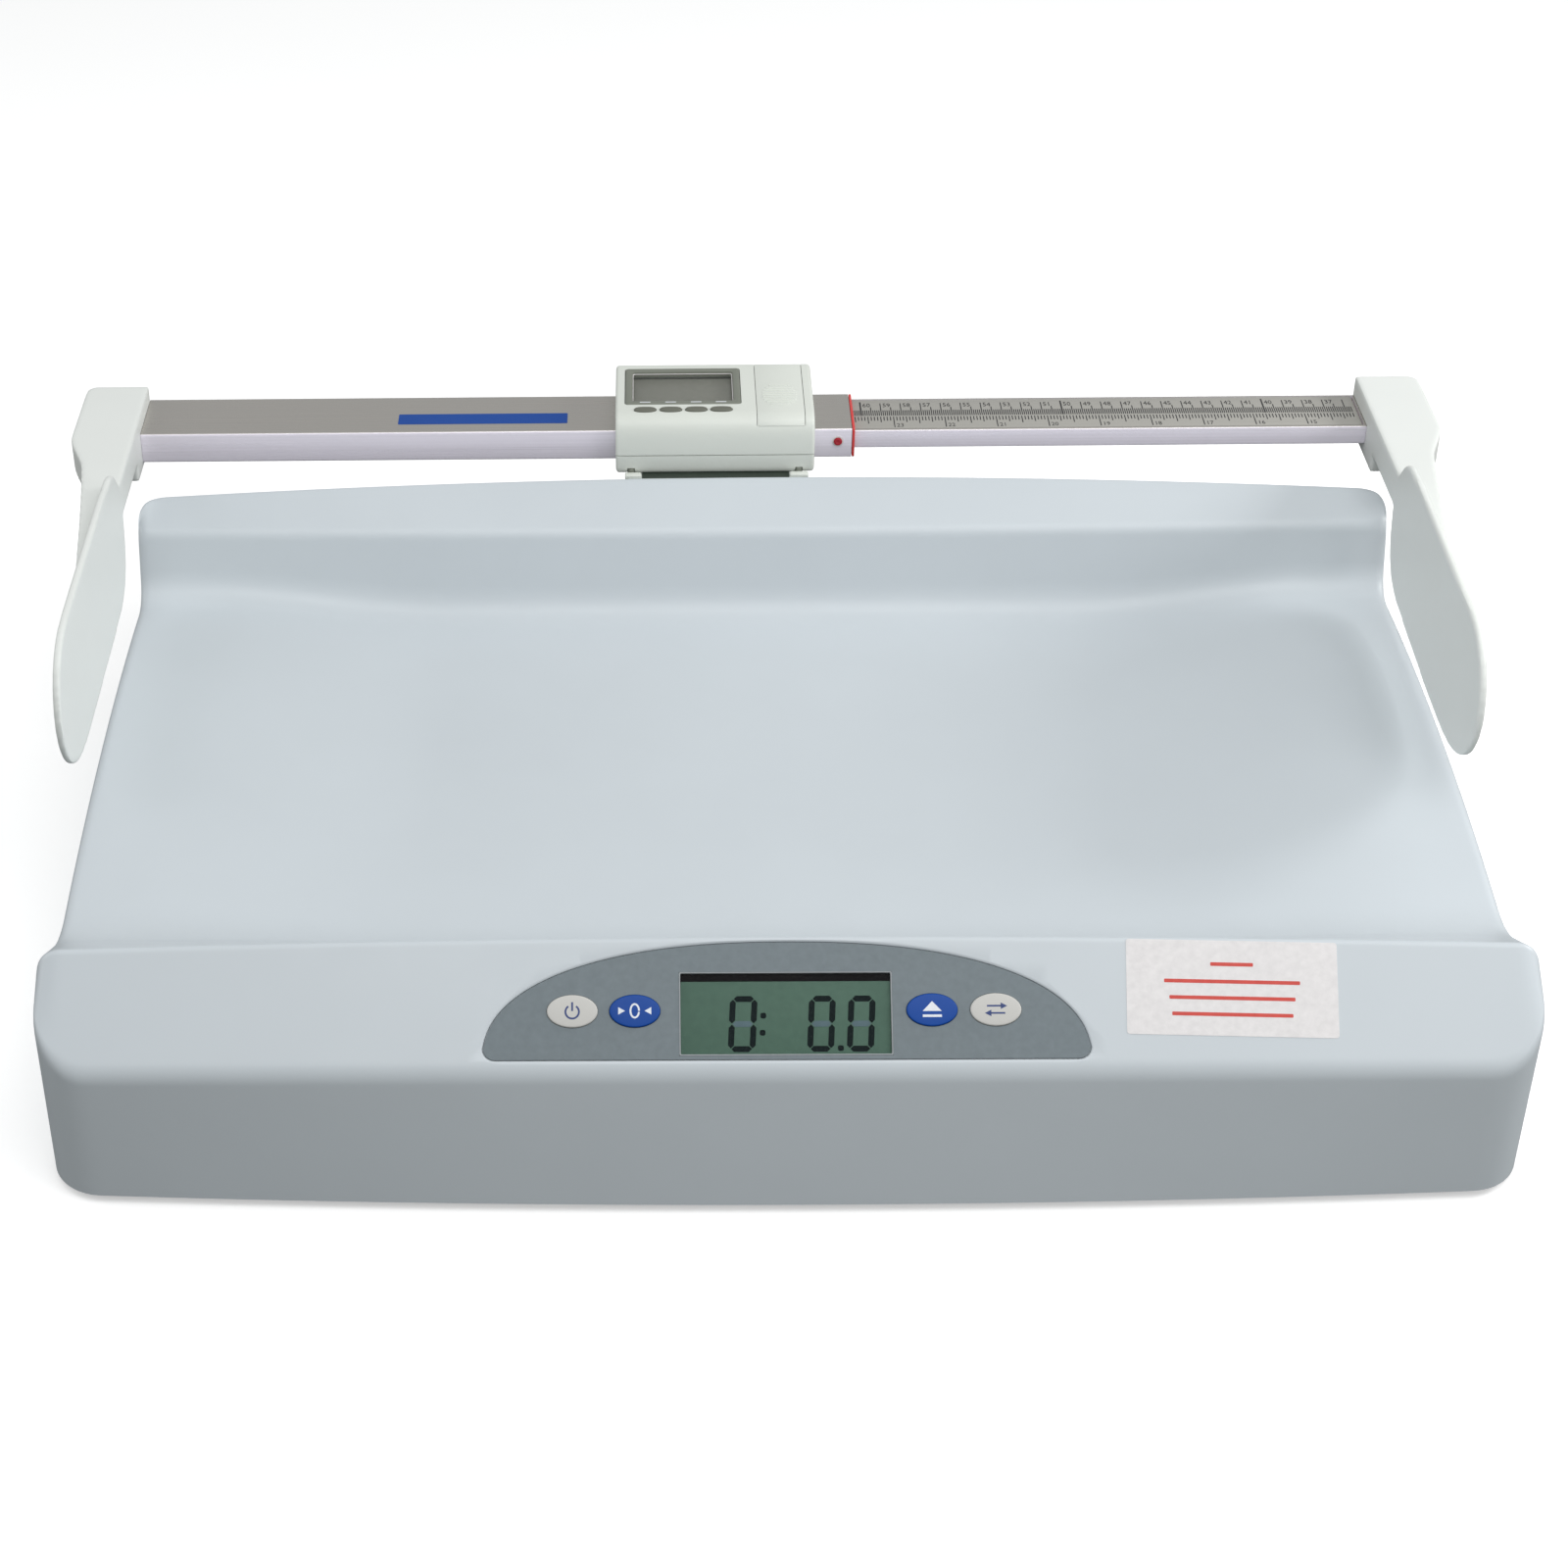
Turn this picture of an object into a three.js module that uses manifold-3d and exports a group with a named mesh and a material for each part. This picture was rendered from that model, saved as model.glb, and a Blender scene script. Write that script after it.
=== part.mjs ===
// Infant tray scale with a telescoping length rod: millimetres, +Z up, +X to the right, front towards -Y.
// The origin is on the floor, under the middle of the whole object.
import * as THREE from 'three';
import { mergeVertices } from 'three/addons/utils/BufferGeometryUtils.js';
import Module from 'manifold-3d';

const wasm = await Module();
wasm.setup();

// ---- driving dimensions ----
const TRAY_X = 3; // the tray and all that is fixed to it sit this far right of the middle of the rod
const GAP = 0.3; // between pieces that touch

// tray shell: a section in Y and Z that changes along X
const HALF_WIDTH = 302.5;
const SKIN = 3;
const SHELL_FOOT_Z = 4;
const FRONT_Y = -216.5;
const FRONT_BOW = 8; // the foot of the front face bows forward in the middle
const FRONT_TOP_Z = 67.3;
const PANEL_SLOPE = 0.9; // rise of the display panel for each millimetre back
const RIDGE_Y = -175.5;
const RIDGE_Z = 104.3;
const RIDGE_EASE = 2.2;
const CREASE_Y = 128.5;
const CREASE_Z = 115.3;
const CREASE_LIFT = 2; // the crease is this much higher at its ends
const BACK_Y = 158.5;
const BACK_BOW = 11; // the back edge is this much further forward at its ends
const BACK_Z = 130.6;
const BACK_FALL = 3; // and this much lower there
const CORNER = 22; // plan radius of the upright corners
const EDGE = 4; // radius of the side edges

// base
const PAN_Z = 5;
const PAN_THICK = 3;
const FOOT_X = 236;
const FEET = [
  ['front_left', -FOOT_X, -150],
  ['front_right', FOOT_X, -150],
  ['rear_left', -FOOT_X, 112],
  ['rear_right', FOOT_X, 112],
];
const FOOT_RADIUS = 16;
const FRAME_Z = 24.6;
const fourCorners = (x, y) => [-1, 1].flatMap((side) => [-1, 1].map((end) => [side * x, end * y]));
const FLOOR_BOSSES = fourCorners(150, 92);
const SCREWS = fourCorners(272, 40);
const BATTERY = { left: -58, right: 58, front: -66, back: -16 };
const HATCH_TRAVEL = 8; // the hatch stops this far short of the back of its opening

// display panel, in its own frame: x along it, y up the slope, z out of it
const OVERLAY_HALF = 121;
const OVERLAY_LOW = 5.8;
const OVERLAY_RISE = 47.1;
const LCD_HALF = 42.3;
const LCD_LOW = 7.6;
const LCD_HIGH = 40.7;
const KEY_WIDTH = 20.4;
const KEY_HEIGHT = 13.2;
const KEYS = [
  ['key_on_off', -85.3, 'white'],
  ['key_zero', -60.3, 'blue'],
  ['key_release', 58.3, 'blue'],
  ['key_units', 83.7, 'white'],
];
const KEY_Y = 25.3;
const NOTICE_X = 178;
const NOTICE_Y = 33.4;
const NOTICE_WIDTH = 84.7;
const NOTICE_HEIGHT = 39;

// measuring rod
const SLEEVE = { low: -302, high: 49.3, front: 176, back: 213.5, floor: 129.8, top: 145.8, wall: 1.7 };
const ROD = { low: -30, high: 322, front: 178, back: 211.5, floor: 134, top: 143.8 };
const INDEX_THICK = 1.4;
const RIVET_X = 42.5;
const RIVET_Z = 139;

// reader head on the sleeve
const HEAD = { low: -70, high: 27.5, front: 163.5, back: 224.5, floor: 128.3, seam: 138.3, top: 157.3 };
const READER_KEY_X = [-55.4, -42.8, -30.3, -18];
const READER_KEY_Y = 175.6;
const DOOR_LOW = -1;
const DOOR_HIGH = 23;
const BRACKET_SCREWS = [-52, 10];
const CLAMP_SCREW_X = -21;

// paddles
const PADDLE_FACE = 302;
const PADDLE_OUT = 333;
const PADDLE_BACK = 213.5;
const ARM_TOP = 153.3;
const ARM_FLOOR = 136.3;
const SOCKET_FLOOR = 127.3;
const SOCKET_OUT = 326;
const SOCKET_FRONT = 161; // clears the tray's back edge when the arm slides in
const LEAF_THICK = 3.6;

// ---- materials ----
const finish = (color, roughness, metalness = 0) => ({ color, roughness, metalness });
const LOOK = {
  shell: finish(0xd3dbe0, 0.42),
  pan: finish(0xc9ced2, 0.6),
  rubber: finish(0x2b2c2e, 0.85),
  steel: finish(0xb9bcbf, 0.35, 1),
  aluminium: finish(0xa9a8a4, 0.38, 1),
  overlay: finish(0x858b91, 0.5),
  white: finish(0xece9e6, 0.4),
  blue: finish(0x1f4fa8, 0.4),
  lcd: finish(0x8d9c8c, 0.25),
  glass: finish(0x9aa3a0, 0.08),
  board: finish(0x1f6b3c, 0.5),
  black: finish(0x232427, 0.5),
  paper: finish(0xe6e6e2, 0.6),
  paddle: finish(0xe3e6df, 0.45),
  head: finish(0xe0e2dc, 0.45),
  grey: finish(0x85867f, 0.5),
  red: finish(0xc8302c, 0.45),
  tape: finish(0xa8a59c, 0.45),
  copper: finish(0xb87648, 0.35, 1),
  cell: finish(0x3a5f3f, 0.4),
};

// ---- solids ----
function solid(geometry) {
  const bare = geometry.clone();
  bare.deleteAttribute('normal');
  bare.deleteAttribute('uv');
  const merged = mergeVertices(bare, 1e-4);
  return new wasm.Manifold(
    new wasm.Mesh({
      numProp: 3,
      vertProperties: new Float32Array(merged.attributes.position.array),
      triVerts: new Uint32Array(merged.index.array),
    }),
  );
}

function surface(body) {
  const mesh = body.getMesh();
  const geometry = new THREE.BufferGeometry();
  geometry.setAttribute('position', new THREE.BufferAttribute(new Float32Array(mesh.vertProperties), 3));
  geometry.setIndex(new THREE.BufferAttribute(new Uint32Array(mesh.triVerts), 1));
  return geometry;
}

function cut(geometry, ...tools) {
  return surface(tools.reduce((body, tool) => body.subtract(solid(tool)), solid(geometry)));
}

function join(...pieces) {
  return surface(pieces.map(solid).reduce((body, piece) => body.add(piece)));
}

const box = (x0, x1, y0, y1, z0, z1) =>
  new THREE.BoxGeometry(x1 - x0, y1 - y0, z1 - z0).translate((x0 + x1) / 2, (y0 + y1) / 2, (z0 + z1) / 2);

function plate(shape, low, high, curveSegments = 6) {
  const options = { depth: high - low, bevelEnabled: false, curveSegments };
  return new THREE.ExtrudeGeometry(shape, options).translate(0, 0, low);
}

// a shape in Y and Z, run along X
const alongX = (shape, low, high, curveSegments) =>
  plate(shape, 0, high - low, curveSegments).rotateX(Math.PI / 2).rotateZ(Math.PI / 2).translate(low, 0, 0);

// a plate whose long edges are chamfered all round
function softPlate(shape, low, high, bevel, curveSegments = 4) {
  const options = {
    depth: high - low - 2 * bevel,
    bevelThickness: bevel,
    bevelSize: bevel,
    bevelOffset: -bevel,
    bevelSegments: 2,
    curveSegments,
  };
  return new THREE.ExtrudeGeometry(shape, options).translate(0, 0, low + bevel);
}

function roundedRectangle(x0, x1, y0, y1, r) {
  const shape = new THREE.Shape();
  shape.absarc(x1 - r, y0 + r, r, -Math.PI / 2, 0);
  shape.absarc(x1 - r, y1 - r, r, 0, Math.PI / 2);
  shape.absarc(x0 + r, y1 - r, r, Math.PI / 2, Math.PI);
  shape.absarc(x0 + r, y0 + r, r, Math.PI, Math.PI * 1.5);
  return shape;
}

function oval(x, y, width, height) {
  const shape = new THREE.Shape();
  shape.absellipse(x, y, width / 2, height / 2, 0, 2 * Math.PI);
  return shape;
}

// an upright round post, and the same lying along Y or X
const post = (x, y, z0, z1, r, sides = 16) =>
  new THREE.CylinderGeometry(r, r, z1 - z0, sides).rotateX(Math.PI / 2).translate(x, y, (z0 + z1) / 2);
const pinAlongY = (x, z, y0, y1, r, sides = 16) =>
  new THREE.CylinderGeometry(r, r, y1 - y0, sides).translate(x, (y0 + y1) / 2, z);
const pinAlongX = (y, z, x0, x1, r, sides = 20) =>
  new THREE.CylinderGeometry(r, r, x1 - x0, sides).rotateZ(-Math.PI / 2).translate((x0 + x1) / 2, y, z);

// a turned piece: [radius, height] pairs from the axis round to the axis
function turned(profile, x, y, sides = 20) {
  const points = profile.map(([r, z]) => new THREE.Vector2(r, z));
  return new THREE.LatheGeometry(points, sides).rotateX(Math.PI / 2).translate(x, y, 0);
}

// skin over closed sections of equal length: each is { x, ring }, rings run anticlockwise seen from +X
function loft(sections) {
  const count = sections[0].ring.length;
  const positions = sections.flatMap(({ x, ring }) => ring.flatMap(([y, z]) => [x, y, z]));
  const faces = [];
  for (let i = 0; i + 1 < sections.length; i += 1) {
    for (let j = 0; j < count; j += 1) {
      const a = i * count + j;
      const b = i * count + ((j + 1) % count);
      faces.push(a, b, a + count, b, b + count, a + count);
    }
  }
  const caps = [sections[0], sections[sections.length - 1]].map(({ ring }) =>
    THREE.ShapeUtils.triangulateShape(ring.map(([y, z]) => new THREE.Vector2(y, z)), []),
  );
  const last = (sections.length - 1) * count;
  caps[0].forEach(([a, b, c]) => faces.push(a, c, b));
  caps[1].forEach(([a, b, c]) => faces.push(last + a, last + b, last + c));
  const geometry = new THREE.BufferGeometry();
  geometry.setAttribute('position', new THREE.Float32BufferAttribute(positions, 3));
  geometry.setIndex(faces);
  return geometry;
}

// a polyline whose corners [y, z, cut] are eased over the length cut on each side
function eased(corners, steps) {
  const line = [];
  corners.forEach(([y, z, ease], i) => {
    if (!ease) {
      line.push([y, z]);
      return;
    }
    const towards = (other) => {
      const span = Math.hypot(other[0] - y, other[1] - z);
      return [y + ((other[0] - y) * ease) / span, z + ((other[1] - z) * ease) / span];
    };
    const start = towards(corners[i - 1]);
    const end = towards(corners[i + 1]);
    for (let k = 0; k <= steps; k += 1) {
      const t = k / steps;
      const mix = (n) => (1 - t) ** 2 * start[n] + 2 * t * (1 - t) * [y, z][n] + t * t * end[n];
      line.push([mix(0), mix(1)]);
    }
  });
  return line;
}

// ---- tray shell ----
const roundIn = (distance, radius) =>
  distance >= radius ? 0 : radius - Math.sqrt(radius ** 2 - (radius - distance) ** 2);

// height of the tray floor: a shallow cradle that rises to a lip at each end
function floorZ(x, y) {
  const lip = 89.3 - 0.000444 * (y - 32.5) ** 2;
  const cradle = 69 + 0.00028 * (y + 40) ** 2;
  const blend = THREE.MathUtils.smoothstep(Math.abs(x), 150, 272);
  return cradle + (lip - cradle) * blend;
}

// corners [y, z, ease] of the outer section, from the front foot over the top to the back foot
function trayCorners(x) {
  const t2 = (x / HALF_WIDTH) ** 2;
  const distance = HALF_WIDTH - Math.abs(x);
  const plan = roundIn(distance, CORNER);
  const drop = roundIn(distance, EDGE);
  const back = BACK_Y - BACK_BOW * t2 - roundIn(distance, 12);
  const floor = (y, ease) => [y, floorZ(x, y) - drop, ease];
  return [
    [FRONT_Y - FRONT_BOW * (1 - t2) + plan, SHELL_FOOT_Z, 0],
    [FRONT_Y + plan, FRONT_TOP_Z + PANEL_SLOPE * plan - drop, 5],
    [RIDGE_Y - 3 * t2, RIDGE_Z - 3 * t2 - drop, RIDGE_EASE],
    floor(-138, 16),
    floor(-95, 0),
    floor(-50, 0),
    floor(0, 0),
    floor(50, 0),
    floor(90, 0),
    floor(118.5, 13),
    [CREASE_Y, CREASE_Z + CREASE_LIFT * t2 - drop, 4],
    [back, BACK_Z - BACK_FALL * t2 - drop, 4],
    [back, SHELL_FOOT_Z, 0],
  ];
}

const trayLine = (x, steps) => eased(trayCorners(x), steps);

// the corners moved inwards by the skin thickness, and run out through the open underside
function innerLine(x, steps) {
  const corners = trayCorners(x);
  const sides = corners.slice(1).map(([y, z], i) => {
    const [y0, z0] = corners[i];
    const length = Math.hypot(y - y0, z - z0);
    const along = [(y - y0) / length, (z - z0) / length];
    return { from: [y0 + along[1] * SKIN, z0 - along[0] * SKIN], along };
  });
  const inner = corners.map(([, , ease], i) => {
    if (i === 0 || i === sides.length) {
      const { from, along } = sides[Math.min(i, sides.length - 1)];
      const reach = (-SHELL_FOOT_Z - from[1]) / along[1];
      return [from[0] + along[0] * reach, -SHELL_FOOT_Z, 0];
    }
    const [before, after] = [sides[i - 1], sides[i]];
    const cross = before.along[0] * after.along[1] - before.along[1] * after.along[0];
    const away = [after.from[0] - before.from[0], after.from[1] - before.from[1]];
    const reach = (away[0] * after.along[1] - away[1] * after.along[0]) / cross;
    return [before.from[0] + before.along[0] * reach, before.from[1] + before.along[1] * reach, ease];
  });
  return eased(inner, steps);
}

function stations(fromEnd, inner) {
  const right = [...fromEnd.map((d) => HALF_WIDTH - d), ...inner];
  return [...right.map((x) => -x), 0, ...right.reverse()];
}

// pieces on the display panel are made flat and then tilted up into place
const panelAngle = Math.atan(PANEL_SLOPE);
const onPanel = (geometry) => geometry.rotateX(panelAngle).translate(0, FRONT_Y, FRONT_TOP_Z);

function overlayShape(margin) {
  const shape = new THREE.Shape();
  const half = OVERLAY_HALF + margin;
  const rise = OVERLAY_RISE + margin;
  const power = 2 / 2.3;
  const corner = 5;
  const low = OVERLAY_LOW - margin;
  shape.moveTo(-half + corner, low);
  shape.lineTo(half - corner, low);
  for (let i = 1; i < 32; i += 1) {
    const angle = (Math.PI * i) / 32;
    const side = Math.cos(angle);
    const x = Math.sign(side) * half * Math.abs(side) ** power;
    shape.lineTo(x, OVERLAY_LOW + rise * Math.sin(angle) ** power);
  }
  shape.closePath();
  return shape;
}

function trayShell() {
  const outer = stations([0, 0.6, 2, 4, 7.5, 11.5, 16, 22], [272, 250, 228, 206, 184, 165, 150, 100, 50]);
  const inner = stations([SKIN, 5, 9, 16, 22], [262, 238, 211, 180, 150, 75]);
  const skin = loft(outer.map((x) => ({ x, ring: trayLine(x, 4).reverse() })));
  const hollow = loft(inner.map((x) => ({ x, ring: innerLine(x, 3).reverse() })));
  const boss = (x, y, foot, radius, depth, bore) =>
    cut(post(x, y, foot + GAP, floorZ(x, y) - 1, radius, 12), post(x, y, 0, depth, bore, 8));
  const floorPosts = FLOOR_BOSSES.map(([x, y]) => boss(x, y, FRAME_Z + 2, 6, 45, 2));
  const screwPosts = SCREWS.map(([x, y]) => boss(x, y, PAN_Z + PAN_THICK, 5.5, 34, 1.9));
  const shell = join(cut(skin, hollow), ...floorPosts, ...screwPosts);
  const pocket = onPanel(plate(overlayShape(GAP), -1.3, 6));
  const window = onPanel(box(-LCD_HALF - 3, LCD_HALF + 3, LCD_LOW - 1.5, LCD_HIGH + 1.5, -12, 2));
  const keyHole = (x) => plate(oval(x, KEY_Y, KEY_WIDTH + 1.2, KEY_HEIGHT + 1.2), -12, 2);
  const keyHoles = KEYS.map(([, x]) => onPanel(keyHole(x)));
  const notice = onPanel(noticeBlank(-0.35, 6, GAP));
  const socket = pinAlongY(-180, 40, 140, 170, 4.2, 12);
  const bracketHoles = BRACKET_SCREWS.map((x) => pinAlongY(x, 100, 140, 170, 2, 8));
  return cut(shell, pocket, window, ...keyHoles, notice, socket, ...bracketHoles);
}

function noticeBlank(low, high, margin) {
  return plate(
    roundedRectangle(
      NOTICE_X - NOTICE_WIDTH / 2 - margin,
      NOTICE_X + NOTICE_WIDTH / 2 + margin,
      NOTICE_Y - NOTICE_HEIGHT / 2 - margin,
      NOTICE_Y + NOTICE_HEIGHT / 2 + margin,
      1.5,
    ),
    low,
    high,
    2,
  );
}

// ---- base ----
function basePan() {
  const half = HALF_WIDTH - SKIN - 1.2;
  const inset = SKIN + 1.6;
  const frontAt = (x) => FRONT_Y - FRONT_BOW * (1 - (x / HALF_WIDTH) ** 2) + inset;
  const backAt = (x) => BACK_Y - BACK_BOW * (x / HALF_WIDTH) ** 2 - inset;
  const across = [-1, -0.75, -0.5, -0.25, 0, 0.25, 0.5, 0.75, 1].map((part) => part * (half - 14));
  const shape = new THREE.Shape();
  shape.moveTo(-half, frontAt(half) + 14);
  across.forEach((x) => shape.lineTo(x, frontAt(x)));
  shape.lineTo(half, frontAt(half) + 14);
  shape.lineTo(half, backAt(half) - 14);
  across.reverse().forEach((x) => shape.lineTo(x, backAt(x)));
  shape.lineTo(-half, backAt(half) - 14);
  shape.closePath();
  const pan = plate(shape, PAN_Z, PAN_Z + PAN_THICK);
  const ribs = [-1, 1].flatMap((side) => [
    box(side * 200 - 1.5, side * 200 + 1.5, -195, 135, PAN_Z + 1, PAN_Z + 9),
    box(side * 110 - 1.5, side * 110 + 1.5, -195, 135, PAN_Z + 1, PAN_Z + 9),
  ]);
  const footHoles = FEET.map(([, x, y]) => post(x, y, 0, 12, FOOT_RADIUS + 2, 24));
  const screwHoles = SCREWS.map(([x, y]) => post(x, y, 0, 12, 2.4, 10));
  const { left, right, front, back } = BATTERY;
  const hatch = box(left, right, front, back, 0, 12);
  return cut(join(pan, ...ribs), hatch, ...footHoles, ...screwHoles);
}

function footPad(x, y) {
  const underside = [[0, 2.4], [3.5, 2.4], [3.5, 0], [13.5, 0], [FOOT_RADIUS, 1.4]];
  return turned([...underside, [FOOT_RADIUS, 5.4], [13.5, 6.6], [0, 6.6]], x, y);
}

const footStud = (x, y) =>
  turned([[0, 6.9], [8, 6.9], [8, 9.4], [3, 10.4], [3, 14.2], [0, 14.2]], x, y, 14);

// a bending beam with a double-round window: it carries the foot at one end and the frame at the other
function loadCell(x, y) {
  const side = Math.sign(x);
  const inner = x - side * 58;
  const outer = x + side * 9;
  const beam = box(Math.min(inner, outer), Math.max(inner, outer), y - 8, y + 8, 14.5, 24.2);
  const middle = x - side * 25;
  const eyes = [-7, 7].map((shift) => pinAlongY(middle + shift, 19.35, y - 9, y + 9, 3.6, 12));
  return cut(beam, ...eyes, box(middle - 7, middle + 7, y - 9, y + 9, 18.1, 20.6));
}

// an H of channel section that ties the four load cells to the shell
function chassis() {
  const rails = [-1, 1].map((side) => {
    const x = side * 182;
    return cut(
      box(x - 14, x + 14, -166, 128, FRAME_Z, FRAME_Z + 16),
      box(x - 12, x + 12, -170, 132, FRAME_Z + 2, FRAME_Z + 20),
    );
  });
  const tie = [-92, 92].map((y) =>
    cut(
      box(-169, 169, y - 13, y + 13, FRAME_Z, FRAME_Z + 12),
      box(-175, 175, y - 11, y + 11, FRAME_Z + 2, FRAME_Z + 20),
    ),
  );
  const relief = [-92, 92].map((y) => box(-200, 200, y - 11, y + 11, FRAME_Z + 2, FRAME_Z + 20));
  const bossHoles = FLOOR_BOSSES.map(([x, y]) => post(x, y, FRAME_Z - 1, FRAME_Z + 3, 2.2, 10));
  return cut(join(...rails, ...tie), ...relief, ...bossHoles);
}

function batteryBox() {
  const { left, right, front, back } = BATTERY;
  const roof = 24;
  const body = box(left + 2, right - 2, front + 2, back - 2, PAN_Z + 2.8, roof);
  const room = box(left + 3.6, right - 3.6, front + 3.6, back - 3.6, 0, roof - 1.6);
  const saddle = [0, 1].map((row) => box(-1, 1, cellY(row) - 6, cellY(row) + 6, 20, roof - 1));
  return join(cut(body, room), ...saddle);
}

const cellY = (row) => (BATTERY.front + BATTERY.back) / 2 + (row - 0.5) * 16;

function cell(column, row) {
  const y = cellY(row);
  const z = PAN_Z + 10.1;
  const from = column ? 2 : -52.5;
  return join(pinAlongX(y, z, from, from + 49.5, 6.9, 16), pinAlongX(y, z, from + 49, from + 50.5, 2.7, 10));
}

function hatch() {
  const { left, right, front, back } = BATTERY;
  const door = box(left + 0.5, right - 0.5, front + 0.5, back - 0.5 - HATCH_TRAVEL, PAN_Z, PAN_Z + 2.4);
  return cut(door, pinAlongX(front + 10, PAN_Z - 3, -14, 14, 4.5, 16));
}

const caseScrew = (x, y) =>
  turned([[0, 2.9], [4, 2.9], [4, 4.7], [1.7, 4.7], [1.7, 26], [0, 27]], x, y, 12);

// ---- display panel ----
function overlay() {
  const sheet = plate(overlayShape(0), -1, 0.2);
  const opening = box(-LCD_HALF - GAP, LCD_HALF + GAP, LCD_LOW - GAP, LCD_HIGH + GAP, -3, 3);
  const keyHoles = KEYS.map(([, x]) => plate(oval(x, KEY_Y, KEY_WIDTH + 0.6, KEY_HEIGHT + 0.6), -3, 3));
  return onPanel(cut(sheet, opening, ...keyHoles));
}

function key(x) {
  const cap = softPlate(oval(x, KEY_Y, KEY_WIDTH, KEY_HEIGHT), -2.5, 0.9, 0.5, 7);
  return onPanel(join(cap, box(x - 3, x + 3, KEY_Y - 3, KEY_Y + 3, -8.4, -1)));
}

const displayWindow = () => onPanel(box(-LCD_HALF, LCD_HALF, LCD_LOW, LCD_HIGH, -1, 0));

const displayModule = () =>
  onPanel(box(-LCD_HALF - 2, LCD_HALF + 2, LCD_LOW - 0.8, LCD_HIGH + 0.8, -6.5, -1.6));

const mainBoard = () => onPanel(plate(roundedRectangle(-98, 98, 5, 46, 2), -10.8, -9.2, 2));

// ---- measuring rod ----
function sleeve() {
  const { low, high, front, back, floor, top, wall } = SLEEVE;
  const section = roundedRectangle(front, back, floor, top, 1.2);
  const tube = alongX(section, low, high, 2);
  const bore = box(low - 1, high + 1, front + wall, back - wall, floor + wall, top - wall);
  const sensorSlot = box(-47, 8, front + 8, back - 8, top - 4, top + 4);
  const rivetHole = pinAlongY(RIVET_X, RIVET_Z, front - 3, front + 3, 1.2, 10);
  return cut(tube, bore, sensorSlot, rivetHole);
}

// the bar has a shallow groove along its top for the encoder strip and the scale tape
function innerRod() {
  const { low, high, front, back, floor, top } = ROD;
  const section = roundedRectangle(front, back, floor, top, 0.8);
  const bar = alongX(section, low, high, 2);
  const groove = box(low + 6, PADDLE_FACE - 1, front + 1.5, back - 1.5, top - 1.2, top + 1);
  const hollow = box(low - 1, high + 1, front + 3, back - 3, floor + 2.5, top - 3.5);
  return cut(bar, groove, hollow);
}

const inGroove = (margin, low, high) =>
  box(ROD.low + 7, PADDLE_FACE - 2, ROD.front + margin, ROD.back - margin, ROD.top + low, ROD.top + high);
const encoderStrip = () => inGroove(2, -1.1, -0.6);
const scaleTape = () => inGroove(1.8, -0.3, 0);

// a plastic slipper plugged into the hidden end of the bar, filling the bore of the sleeve
function rodSlipper() {
  const { front, back, floor, top, wall } = SLEEVE;
  const clear = wall + GAP;
  return join(
    box(ROD.low - 8, ROD.low - GAP, front + clear, back - clear, floor + clear, top - clear),
    box(ROD.low - 1, ROD.low + 10, ROD.front + 3.3, ROD.back - 3.3, ROD.floor + 2.8, ROD.top - 3.8),
  );
}

function indexRing() {
  const { high, front, back, floor, top } = SLEEVE;
  const outer = box(high + GAP, high + GAP + INDEX_THICK, front, back, floor, top);
  return cut(outer, box(high - 5, high + 9, ROD.front - 0.3, ROD.back + 0.3, ROD.floor - 0.3, ROD.top + 0.3));
}

const sleeveRivet = () =>
  join(
    pinAlongY(RIVET_X, RIVET_Z, SLEEVE.front - 1.2, SLEEVE.front - GAP, 2.1),
    pinAlongY(RIVET_X, RIVET_Z, SLEEVE.front - 1, SLEEVE.front + 1.5, 0.9, 10),
  );

// ---- reader head ----
function headBlock(low, high) {
  const { front, back } = HEAD;
  const shape = roundedRectangle(front, back, HEAD.floor, HEAD.top, 4);
  const block = alongX(shape, HEAD.low, HEAD.high, 4);
  return surface(solid(block).intersect(solid(box(-99, 99, front - 5, back + 5, low, high))));
}

const sleeveChannel = () =>
  box(-99, 99, SLEEVE.front - GAP, SLEEVE.back + GAP, SLEEVE.floor - GAP, SLEEVE.top + GAP);

function readerTopCase() {
  const room = box(HEAD.low + 3, HEAD.high - 3, HEAD.front + 3, HEAD.back - 3, SLEEVE.top - 1, HEAD.top - 2.2);
  const window = box(-65.5, -8, 181, 219.5, HEAD.top - 3, HEAD.top + 1);
  const keyHole = (x) => plate(oval(x, READER_KEY_Y, 11.2, 6.6), HEAD.top - 4, HEAD.top + 2, 5);
  const doorWay = box(DOOR_LOW, DOOR_HIGH, HEAD.front + 2.4, HEAD.back + 5, HEAD.top - 1.9, HEAD.top + 1);
  const cellWell = post(11, 196, HEAD.top - 6, HEAD.top, 9, 20);
  const body = headBlock(HEAD.seam + GAP, HEAD.top);
  return cut(body, sleeveChannel(), room, window, ...READER_KEY_X.map(keyHole), doorWay, cellWell);
}

function readerBottomCase() {
  const screwHole = post(CLAMP_SCREW_X, 169, 100, 136, 1.7, 10);
  return cut(headBlock(HEAD.floor, HEAD.seam), sleeveChannel(), screwHole);
}

// a raised border round a sunken clear pane, moulded in one
const readerWindow = () =>
  cut(
    softPlate(roundedRectangle(-65.2, -8.3, 181.3, 219.2, 1.5), HEAD.top - 2.7, HEAD.top + 0.4, 0.4, 2),
    box(-61.6, -12.2, 185, 213.6, HEAD.top - 1, HEAD.top + 2),
  );

const readerLcd = () => box(-62, -11, 184, 214.5, HEAD.top - 5.6, HEAD.top - 3.2);

const readerBoard = () =>
  plate(roundedRectangle(-65, 22, 168.5, 219, 1.5), SLEEVE.top + 0.7, SLEEVE.top + 2.1, 2);

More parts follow.
